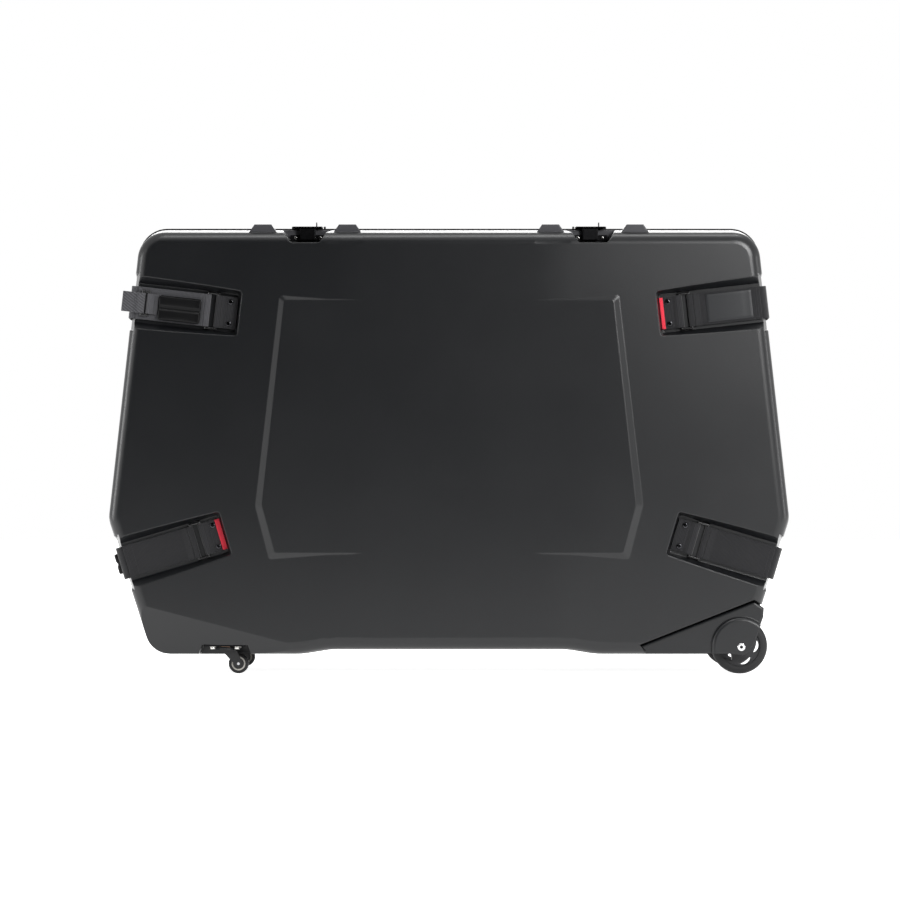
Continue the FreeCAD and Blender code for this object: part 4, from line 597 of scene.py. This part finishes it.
class CASE_OT_stage(bpy.types.Operator):
    """Set up the camera, the studio light and the floor"""

    bl_idname = "travel_case.stage"
    bl_label = "Studio"

    camera_place = (0.0018, -6.16, 0.4014)
    focal_length = 134.8
    sensor_width = 36
    floor_radius = 9
    # name, place, aim, width and height in metres, power in watts
    lamps = (
        ("key", (1.95, -3.5, 1.75), (0.5, 0.0, 0.7), 1.2, 1.3, 122),
        ("fill", (-4.4, -2.4, 1.4), (-0.3, 0.0, 0.4), 2.4, 2.4, 14),
        ("top", (0.2, -0.4, 3.6), (0.0, 0.0, 0.4), 3.2, 0.8, 50),
        ("left_strip", (-5.0, -0.6, 0.6), (0.0, 0.0, 0.4), 0.9, 2.2, 80),
        ("right_strip", (5.0, -0.6, 0.6), (0.0, 0.0, 0.4), 0.9, 2.2, 40),
        ("back", (0.0, 3.6, 2.2), (0.0, 0.0, 0.4), 3.0, 2.0, 60),
    )
    # middle, tilt in degrees, and half width and half height of each black card
    cards = (
        ((-1.6, -6.9, 2.2), 90, 5.4, 4.2),
        ((-1.6, -4.6, 0.01), 0, 5.4, 2.4),
    )

    def execute(self, context):
        scene = context.scene
        scene.view_settings.view_transform = "Standard"
        lens = bpy.data.cameras.new("camera")
        lens.lens = self.focal_length
        lens.sensor_width = self.sensor_width
        camera = bpy.data.objects.new("camera", lens)
        camera.location = self.camera_place
        camera.rotation_euler = (math.radians(90), 0, 0)
        scene.collection.objects.link(camera)
        scene.camera = camera
        for name, place, aim, width, height, power in self.lamps:
            light = bpy.data.lights.new(name, "AREA")
            light.shape = "RECTANGLE"
            light.size = width
            light.size_y = height
            light.energy = power
            lamp = bpy.data.objects.new(name, light)
            lamp.location = place
            lamp.rotation_euler = (Vector(aim) - Vector(place)).to_track_quat("-Z", "Y").to_euler()
            scene.collection.objects.link(lamp)
        self.white_world(scene)
        self.floor(context)
        self.dark_card()
        return {"FINISHED"}

    def dark_card(self):
        """Black cards behind the camera and on the floor before it, seen only in reflections."""
        mesh = bmesh.new()
        for middle, tilt, half_width, half_height in self.cards:
            place = Matrix.Translation(middle) @ Matrix.Rotation(math.radians(tilt), 4, "X")
            bmesh.ops.create_grid(mesh, x_segments=1, y_segments=1, size=1,
                                  matrix=place @ Matrix.Diagonal((half_width, half_height, 1, 1)))
        card = to_object("dark_card", mesh)
        card.data.materials.append(new_finish("black_velvet_card", srgb("#050505"), 1.0, 0.0, 0.0)[0])
        card.visible_camera = False
        card.visible_shadow = False

    def white_world(self, scene):
        """White all round, a little weaker where it lights the case than where it is seen."""
        world = bpy.data.worlds.new("studio")
        world.use_nodes = True
        scene.world = world
        tree = world.node_tree
        ground = tree.nodes["Background"]
        ground.inputs["Color"].default_value = (1.0, 1.0, 1.0, 1.0)
        rays = add_node(tree, "LightPath").outputs
        shown = add_node(tree, "Math", {0: rays["Is Camera Ray"], 1: rays["Is Transmission Ray"]},
                         operation="MAXIMUM")
        seen = add_node(tree, "Math", {0: shown.outputs["Value"], 1: rays["Is Glossy Ray"]},
                        operation="MAXIMUM")
        level = add_node(tree, "MapRange", {"Value": seen.outputs["Value"], "To Min": 0.7, "To Max": 1.0})
        tree.links.new(level.outputs["Result"], ground.inputs["Strength"])

    def floor(self, context):
        """A round white floor that glows where it is seen, and still takes the case's shadow."""
        mesh = bmesh.new()
        bmesh.ops.create_circle(mesh, cap_ends=True, segments=96, radius=self.floor_radius)
        ground = to_object("floor", mesh)
        colour = tuple(context.scene.case_colours.floor)
        material, tree, shader = new_finish("white_paper_floor", colour, 0.9, 0.0, 0.1)
        rays = add_node(tree, "LightPath").outputs
        shown = add_node(tree, "Math", {0: rays["Is Camera Ray"], 1: rays["Is Glossy Ray"]},
                         operation="MAXIMUM")
        glow = add_node(tree, "Math", {0: shown.outputs["Value"], 1: 0.9}, operation="MULTIPLY")
        shader.inputs["Emission Color"].default_value = (1.0, 1.0, 1.0, 1.0)
        tree.links.new(glow.outputs["Value"], shader.inputs["Emission Strength"])
        ground.data.materials.append(material)


class CASE_OT_finishes(bpy.types.Operator):
    """Give every solid of the frame the finish of its slot"""

    bl_idname = "travel_case.finishes"
    bl_label = "Finishes"

    def execute(self, context):
        make_finishes()
        for row in frame["record"]["subparts"]:
            node = frame["nodes"][row["node"]]
            node.data.materials.clear()
            node.data.materials.append(FINISHES[row["material_slot"]])
        return {"FINISHED"}


class CASE_OT_shells(bpy.types.Operator):
    """Model the two shells from their solids, with one even bend each side of the flat middle"""

    bl_idname = "travel_case.shells"
    bl_label = "Shells"

    bend_start = 0.15288
    bend_length = 0.06421
    bend_radius = 1.6
    face_depth = 0.160
    wall = 0.003
    near = 0.0002
    same_point = 0.000001

    def execute(self, context):
        for half in ("front", "back"):
            data = self.merged(frame["nodes"][half + "_shell"].data)
            self.even_bends(data)
            piece = bpy.data.objects.new(half + "_shell_moulding", data)
            context.scene.collection.objects.link(piece)
            put_on(piece, "shell", half + "_half")
            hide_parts(half + "_shell")
        return {"FINISHED"}

    def merged(self, solid):
        """A copy of a solid's mesh with its doubles merged, and its normals kept as an attribute."""
        mesh = bmesh.new()
        mesh.from_mesh(solid)
        facing = mesh.loops.layers.float_vector.new("facing")
        loops = [loop for face in mesh.faces for loop in face.loops]
        for loop, normal in zip(loops, solid.corner_normals):
            loop[facing] = normal.vector
        bmesh.ops.remove_doubles(mesh, verts=mesh.verts, dist=self.same_point)
        data = solid.copy()
        mesh.to_mesh(data)
        mesh.free()
        return data

    def even_bends(self, data):
        """Carry both walls of a hollow bend outwards to a round one, and turn their normals with it."""
        facing = data.attributes["facing"]
        normals = [corner.vector.copy() for corner in facing.data]
        data.attributes.remove(facing)
        steepest = self.bend_length / self.bend_radius
        leans = {}
        for vert in data.vertices:
            run = abs(vert.co.x) - self.bend_start
            if not -self.near < run < self.bend_length + self.near:
                continue
            run = min(max(run, 0.0), self.bend_length)
            hollow = self.face_depth - steepest * run + run * run / (2 * self.bend_radius)
            off = abs(vert.co.y) - hollow
            if min(abs(off), abs(off + self.wall)) < self.near:
                leans[vert.index] = run / self.bend_radius
                vert.co.y += math.copysign(steepest * run - run * run / self.bend_radius, vert.co.y)
        for loop in data.loops:
            lean = leans.get(loop.vertex_index)
            if lean is not None and abs(normals[loop.index].y) > 0.998:
                spot = data.vertices[loop.vertex_index].co
                outward = Vector((math.copysign(math.sin(lean), spot.x),
                                  math.copysign(math.cos(lean), spot.y), 0.0))
                normals[loop.index] = outward if outward.y * normals[loop.index].y > 0 else -outward
        data.normals_split_custom_set(normals)


class CASE_OT_straps(bpy.types.Operator):
    """Model the four straps: front run through its ring, folded flap, and back run"""

    bl_idname = "travel_case.straps"
    bl_label = "Straps"

    halves_gap = 0.15
    side_bend = 11
    flap_bend = 14
    flap_run_start = -127.4

    def execute(self, context):
        sizes = context.scene.case_sizes
        half = sizes.web_width / 2 / MM
        thick = sizes.web_thickness
        for corner, place in corners():
            # the upper left strap and flap are painted paler: painted light
            finish = "painted_lit_webbing" if corner == "upper_left" else "webbing"
            path = [(SIDE_AT_PARTING, self.halves_gap), (SIDE_AT_FACE, STRAP_LAYER),
                    (STRAP_FOLD, STRAP_LAYER), (STRAP_FOLD, FOLD_LAYER), (STRAP_END, FOLD_LAYER)]
            bends = (self.side_bend, RING_BEND, RING_BEND)
            webbing(corner + "_webbing_front", place, path, half, bends, thick, "front_half",
                    [corner + "_strap_front"], held="folded", finish=finish)
            path = [(SIDE_AT_PARTING, -self.halves_gap), (SIDE_AT_FACE, -STRAP_LAYER),
                    (BACK_END, -STRAP_LAYER)]
            webbing(corner + "_webbing_back", place, path, half, (self.side_bend,), thick, "back_half",
                    [corner + "_strap_back"], held="stretched")
            path = [(FLAP_START, FOLD_LAYER), (FLAP_FOOT, FLAP_LAYER), (FLAP_END, FLAP_LAYER)]

            def lift(run, across):
                return flap_lift(corner, run + self.flap_run_start)

            webbing(corner + "_webbing_flap", place, path, half, (self.flap_bend,), thick, corner + "_flap",
                    [corner + "_flap"], held="folded", wave=lift, finish=finish)
        return {"FINISHED"}


class CASE_OT_tabs(bpy.types.Operator):
    """Model the folded webbing tabs that hold the rings, and the sewn ends on the back"""

    bl_idname = "travel_case.tabs"
    bl_label = "Tabs"

    step_top = -157.0
    step_foot = -163.0
    step_bend = 3
    anchor_end = -142.0
    anchor_thickness = 0.0022

    def execute(self, context):
        sizes = context.scene.case_sizes
        half = sizes.web_width / 2 / MM
        bends = (RING_BEND, RING_BEND, self.step_bend, self.step_bend)
        for corner, place in corners():
            path = [(TAB_END, TAB_LOW_LAYER), (TAB_FOLD, TAB_LOW_LAYER), (TAB_FOLD, FOLD_LAYER),
                    (self.step_top, FOLD_LAYER), (self.step_foot, TAB_TOP_LAYER), (TAB_END, TAB_TOP_LAYER)]
            webbing(corner + "_tab", place, path, half, bends, sizes.web_thickness, "front_half",
                    ["strap_tabs"] if corner == "upper_left" else [], "tab", "folded")
            path = [(BACK_END, -TAB_TOP_LAYER), (self.anchor_end, -TAB_TOP_LAYER)]
            webbing(corner + "_anchor", place, path, half, (), self.anchor_thickness, "back_half",
                    ["back_strap_anchors"] if corner == "upper_left" else [], "tab", "laid")
        return {"FINISHED"}


class CASE_OT_carry_grip(bpy.types.Operator):
    """Model the padded carry grip on the upper left flap with its sewn loop and tail"""

    bl_idname = "travel_case.carry_grip"
    bl_label = "Carry grip"

    grip_ends = (-123.6, -44.4)
    grip_half = 24.0
    grip_middle = -4.5
    grip_valley = 6.0
    grip_thickness = 13.0
    web_half = 18.0
    web_thickness = 0.0021
    ring_bend = 3.2
    step_bend = 3
    # layers of the loop and the tail: under the ring, beside it and over it
    low, eye, top = 134.6, 136.8, 141.2
    tail_layer = 2.2
    loop_end, loop_step_foot, loop_step_top, loop_fold = -43.9, -36.0, -30.4, -24.7
    tail_end, tail_step_foot, tail_step_top, tail_fold = 20.0, -8.0, -13.8, -19.3
    # place along the strap and face of each seam
    seams = ((-41.5, 138.1), (-38.5, 138.1), (-5.0, 140.3), (-2.0, 140.3))
    seam_half = 16.0

    def execute(self, context):
        place = strap_place("upper", "left")
        low, eye, top = self.low, self.eye, self.top

        def floor(along):
            return FLAP_FACE + ring_rise(along)

        padded_grip("carry_grip_pad", place, self.grip_ends, self.grip_half, self.grip_middle,
                    self.grip_valley, self.grip_thickness, floor, "upper_left_flap", "carry_grip")
        path = [(self.loop_end, low), (self.loop_fold, low), (self.loop_fold, top), (self.loop_step_top, top),
                (self.loop_step_foot, eye), (self.loop_end, eye)]
        bends = (self.ring_bend, self.ring_bend, self.step_bend, self.step_bend)
        # the loop is painted paler as well: painted light
        webbing("carry_loop_web", place, path, self.web_half, bends, self.web_thickness, "upper_left_flap",
                ["carry_loop"], held="folded", finish="painted_lit_webbing")
        over = eye + self.tail_layer
        path = [(self.tail_end, eye), (self.tail_step_foot, eye), (self.tail_step_top, low),
                (self.tail_fold, low), (self.tail_fold, top), (self.tail_step_top, top),
                (self.tail_step_foot, over), (self.tail_end, over)]
        bends = (self.step_bend, self.step_bend, *bends)
        # the tail's tape is paler and also painted lighter: painted light
        webbing("carry_tail_web", place, path, self.web_half, bends, self.web_thickness, "upper_left_flap",
                ["carry_tail"], held="folded", finish="tape")
        rows = [seam(along, face, self.seam_half) for along, face in self.seams]
        stitch_rows("carry_stitches", place, rows, "upper_left_flap")
        return {"FINISHED"}


class CASE_OT_side_grip(bpy.types.Operator):
    """Model the padded grip on the lower left side of the back half"""

    bl_idname = "travel_case.side_grip"
    bl_label = "Side grip"

    side_slope = 0.0651
    strap_outside = 15.25
    grip_ends = (12.4, 111.8)
    grip_half = 20.0
    grip_valley = 11.0
    grip_thickness = 16.0
    clearance = 0.1

    def execute(self, context):
        # along the grip runs away from the parting plane, out of it runs outwards from the strap
        turn = Matrix.Rotation(-math.radians(90) - math.atan(self.side_slope), 4, "Z")
        place = strap_place("lower", "left") @ Matrix.Translation((self.strap_outside, 0, 0)) @ turn
        padded_grip("side_grip_pad", place, self.grip_ends, self.grip_half, 0.0, self.grip_valley,
                    self.grip_thickness, lambda along: self.clearance, "back_half", "side_grip")
        return {"FINISHED"}


class CASE_OT_patch(bpy.types.Operator):
    """Model the rubber pull patch on the upper right flap: a raised border round a smooth field"""

    bl_idname = "travel_case.patch"
    bl_label = "Pull patch"

    start, end, half = -104.0, -22.0, 25.0
    above_flap = 0.5
    border = 1.4
    ridge = 0.8
    crease_inset, crease_half, crease_depth = 11.0, 1.6, 0.35
    wall = 0.0005
    rounding = 0.00035

    def execute(self, context):
        start, end, half = self.start, self.end, self.half
        mesh = bmesh.new()
        bmesh.ops.create_grid(mesh, x_segments=16, y_segments=10, size=1)
        bmesh.ops.rotate(mesh, verts=mesh.verts, matrix=Matrix.Rotation(math.radians(90), 3, "X"))
        bmesh.ops.scale(mesh, verts=mesh.verts, vec=((end - start) / 2, 1, half))
        bmesh.ops.translate(mesh, verts=mesh.verts, vec=((start + end) / 2, FLAP_FACE + self.above_flap, 0))
        border = bmesh.ops.inset_region(mesh, faces=list(mesh.faces), thickness=self.border,
                                        use_even_offset=True)["faces"]
        ridge = bmesh.ops.extrude_face_region(mesh, geom=border)["geom"]
        bmesh.ops.translate(mesh, verts=[item for item in ridge if isinstance(item, bmesh.types.BMVert)],
                            vec=(0, self.ridge, 0))
        for vert in mesh.verts:
            # one fold line near the outer end, and the flap's own bow below
            crease = math.exp(-((vert.co.x - end + self.crease_inset) / self.crease_half) ** 2)
            vert.co.y += flap_lift("upper_right", vert.co.x) - self.crease_depth * crease
        mesh.transform(strap_place("upper", "right"))
        bmesh.ops.recalc_face_normals(mesh, faces=mesh.faces)
        piece = to_object("pull_patch_rubber", mesh)
        modify(piece, "wall", "SOLIDIFY", thickness=self.wall, offset=0)
        modify(piece, "soft", "BEVEL", width=self.rounding, segments=2, limit_method="ANGLE")
        put_on(piece, "patch", "upper_right_flap")
        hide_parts("pull_patch")
        return {"FINISHED"}


class CASE_OT_tags(bpy.types.Operator):
    """Model the two red woven tags at the inner ends of two tabs"""

    bl_idname = "travel_case.tags"
    bl_label = "Side tags"

    # how far each tag reaches back over its tab
    starts = {"upper": -180.4, "lower": -178.0}
    fold = -186.5
    face, foot = 133.25, 129.0
    half = 28.0
    bend = 0.7
    thickness = 0.0008

    def execute(self, context):
        for level, side in (("upper", "right"), ("lower", "left")):
            corner = "%s_%s" % (level, side)
            path = [(self.starts[level], self.face), (self.fold, self.face), (self.fold, self.foot)]
            webbing(corner + "_tag", strap_place(level, side), path, self.half, (self.bend,), self.thickness,
                    "front_half", ["side_tags"] if level == "upper" else [], "tag", "folded",
                    [corner + "_tab"])
        return {"FINISHED"}


class CASE_OT_interior(bpy.types.Operator):
    """Model the foam mats and the tie-down straps inside"""

    bl_idname = "travel_case.interior"
    bl_label = "Interior"

    mat_inset = 0.001
    mat_edge = 0.004
    mat_cuts = 84
    long_edge = 0.1
    near = 0.0005
    dimple_pitch = 0.048
    dimple_depth = 0.0028
    tie_places = {"left": -180.0, "right": 180.0}
    tie_low, tie_high, tie_layer = 98.2, 721.8, 137.0
    tie_half = 19.0
    tie_thickness = 0.0019

    def execute(self, context):
        for half, sign in (("front", -1), ("back", 1)):
            self.foam_mat(half, sign)
        for side, across in self.tie_places.items():
            # along the strap runs upwards, and across it runs along the case
            turn = Matrix(((0, 0, 1), (0, 1, 0), (1, 0, 0))).to_4x4()
            place = Matrix.Scale(MM, 4) @ Matrix.Translation((across, 0, 0)) @ turn
            path = [(self.tie_low, self.tie_layer), (self.tie_high, self.tie_layer)]
            webbing(side + "_tie_down", place, path, self.tie_half, (), self.tie_thickness, "back_half",
                    ["tie_straps"] if side == "left" else [], held="stretched", rests=["back_foam_pad"])
        return {"FINISHED"}

    def foam_mat(self, half, sign):
        """One mat with soft edges and a dimpled inner face."""
        low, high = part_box(half + "_foam_mat")
        mesh = bmesh.new()
        bmesh.ops.create_cube(mesh, size=1)
        inset = Vector((self.mat_inset, 0, self.mat_inset))
        bmesh.ops.scale(mesh, verts=mesh.verts, vec=high - low - inset)
        bmesh.ops.translate(mesh, verts=mesh.verts, vec=(low + high) / 2)
        round_edges(mesh, list(mesh.edges), self.mat_edge, 3)
        lengths = [edge for edge in mesh.edges if edge.calc_length() > self.long_edge]
        bmesh.ops.subdivide_edges(mesh, edges=lengths, cuts=self.mat_cuts, use_grid_fill=True)
        turn = 2 * math.pi / self.dimple_pitch
        inner = low.y if sign > 0 else high.y
        for vert in mesh.verts:
            if abs(vert.co.y - inner) < self.near:
                wave = math.cos(turn * vert.co.x) * math.cos(turn * vert.co.z)
                vert.co.y += sign * self.dimple_depth * (1 - wave)
        piece = put_on(to_object(half + "_foam_pad", mesh), "foam", half + "_half")
        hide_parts(half + "_foam_mat")


class CASE_OT_casters(bpy.types.Operator):
    """Add the bolts and the bronze race ring that show under the caster plates"""

    bl_idname = "travel_case.casters"
    bl_label = "Caster bolts"

    plate = 0.003
    bolt_across, bolt_deep = 0.022, 0.025
    # sides, radius, drop of the middle below the plate, and height: a washer, then a hexagon head
    bolt_rounds = ((24, 0.0062, 0.0006, 0.001), (6, 0.0052, 0.0031, 0.0038))
    bolt_edge = 0.0004
    level = 0.0001
    race_radius, race_drop, race_height, race_wall = 0.0156, 0.0011, 0.0017, 0.0005

    def execute(self, context):
        for half in ("front", "back"):
            low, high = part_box(half + "_caster_plate")
            under = (low + high) / 2
            under.z = high.z - self.plate
            self.bolts(half, under)
            self.race(half, under)
        return {"FINISHED"}

    def bolts(self, half, under):
        """Four bolts with washers, at the corners of a plate."""
        mesh = bmesh.new()
        for across in (-self.bolt_across, self.bolt_across):
            for deep in (-self.bolt_deep, self.bolt_deep):
                for sides, radius, drop, height in self.bolt_rounds:
                    place = Matrix.Translation(under + Vector((across, deep, -drop)))
                    prism(mesh, place, sides, radius, height)
        rims = [edge for edge in mesh.edges if abs(edge.verts[0].co.z - edge.verts[1].co.z) < self.level]
        round_edges(mesh, rims, self.bolt_edge)
        put_on(to_object(half + "_caster_bolts", mesh), "caster_plate", half + "_half", "bolt")

    def race(self, half, under):
        """The ring that the swivel turns in."""
        mesh = bmesh.new()
        place = Matrix.Translation(under - Vector((0, 0, self.race_drop)))
        prism(mesh, place, 64, self.race_radius, self.race_height, capped=False)
        piece = to_object(half + "_caster_race", mesh)
        modify(piece, "wall", "SOLIDIFY", thickness=self.race_wall, offset=-1)
        put_on(piece, "caster_plate", half + "_half", "race")


class CASE_OT_painted_socket_shades(bpy.types.Operator):
    """Add a dark hexagon on the head of each wheel axle: painted shade standing in for the shade inside its
    socket
    """

    bl_idname = "travel_case.axle_sockets"
    bl_label = "Painted socket shades"

    radius = 0.0031
    depth = 0.0008
    edge = 0.0002

    def execute(self, context):
        for half, sign in (("front", -1), ("back", 1)):
            low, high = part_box(half + "_wheel_axle")
            middle = (low + high) / 2
            middle.y = low.y if sign < 0 else high.y
            mesh = bmesh.new()
            place = Matrix.Translation(middle) @ Matrix.Rotation(math.radians(90), 4, "X")
            # a black hexagon, half proud of the axle's face: painted shade in place of a socket's hollow
            prism(mesh, place, 6, self.radius, self.depth)
            round_edges(mesh, list(mesh.edges), self.edge)
            put_on(to_object(half + "_painted_socket_shade", mesh), "axle", half + "_half", "latch")
        return {"FINISHED"}


class CASE_OT_stitching(bpy.types.Operator):
    """Sew the straps: hems on the flaps, boxes on the tabs and on the back ends"""

    bl_idname = "travel_case.stitching"
    bl_label = "Stitching"

    # places of the hems along each flap
    hems = {"upper_left": (-17.0,), "upper_right": (-12.0, -16.0, -116.0), "lower_left": (-13.0, -23.0),
            "lower_right": (-14.0,)}
    flap_face, tab_face, back_face = 133.45, 132.9, -132.8
    front_half_width, back_half_width = 26.5, 25.0
    tab_seam, tab_seam_end = -165.5, -177.0
    back_seam, back_seam_end = -146.0, -180.0

    def execute(self, context):
        wide = self.front_half_width
        tab_rows = self.open_box(self.tab_seam, self.tab_seam_end, self.tab_face, wide)
        back_rows = self.open_box(self.back_seam, self.back_seam_end, self.back_face, self.back_half_width)
        for corner, place in corners():
            rows = [seam(along, self.flap_face + flap_lift(corner, along) + ring_rise(along), wide)
                    for along in self.hems[corner]]
            stitch_rows(corner + "_flap_stitches", place, rows, corner + "_flap")
            stitch_rows(corner + "_tab_stitches", place, tab_rows, "front_half")
            stitch_rows(corner + "_back_stitches", place, back_rows, "back_half")
        return {"FINISHED"}

    def open_box(self, along, end, face, wide):
        """Rows round three sides of a box, one across a strap and two along it."""
        sides = [((end, face, side), (along, face, side)) for side in (wide, -wide)]
        return [seam(along, face, wide), *sides]


class CASE_PT_panel(bpy.types.Panel):
    """Lists the pieces of the case"""

    bl_idname = "CASE_PT_panel"
    bl_label = "Travel case"
    bl_space_type = "VIEW_3D"
    bl_region_type = "UI"
    bl_category = "Travel case"

    def draw(self, context):
        for operator in OPERATORS:
            self.layout.operator(operator.bl_idname)


OPERATORS = (CASE_OT_stage, CASE_OT_finishes, CASE_OT_shells, CASE_OT_straps, CASE_OT_tabs,
             CASE_OT_carry_grip, CASE_OT_side_grip, CASE_OT_patch, CASE_OT_tags, CASE_OT_interior,
             CASE_OT_casters, CASE_OT_painted_socket_shades, CASE_OT_stitching)
CLASSES = (CaseSizes, CaseColours, *OPERATORS, CASE_PT_panel)


def register():
    for entry in CLASSES:
        bpy.utils.register_class(entry)
    bpy.types.Scene.case_sizes = bpy.props.PointerProperty(type=CaseSizes)
    bpy.types.Scene.case_colours = bpy.props.PointerProperty(type=CaseColours)


def unregister():
    del bpy.types.Scene.case_colours
    del bpy.types.Scene.case_sizes
    for entry in reversed(CLASSES):
        bpy.utils.unregister_class(entry)


def main():
    register()
    bpy.ops.travel_case.stage()
    bpy.ops.travel_case.finishes()
    bpy.ops.travel_case.shells()
    bpy.ops.travel_case.straps()
    bpy.ops.travel_case.tabs()
    bpy.ops.travel_case.carry_grip()
    bpy.ops.travel_case.side_grip()
    bpy.ops.travel_case.patch()
    bpy.ops.travel_case.tags()
    bpy.ops.travel_case.interior()
    bpy.ops.travel_case.casters()
    bpy.ops.travel_case.axle_sockets()
    bpy.ops.travel_case.stitching()


if __name__ == "__main__":
    main()
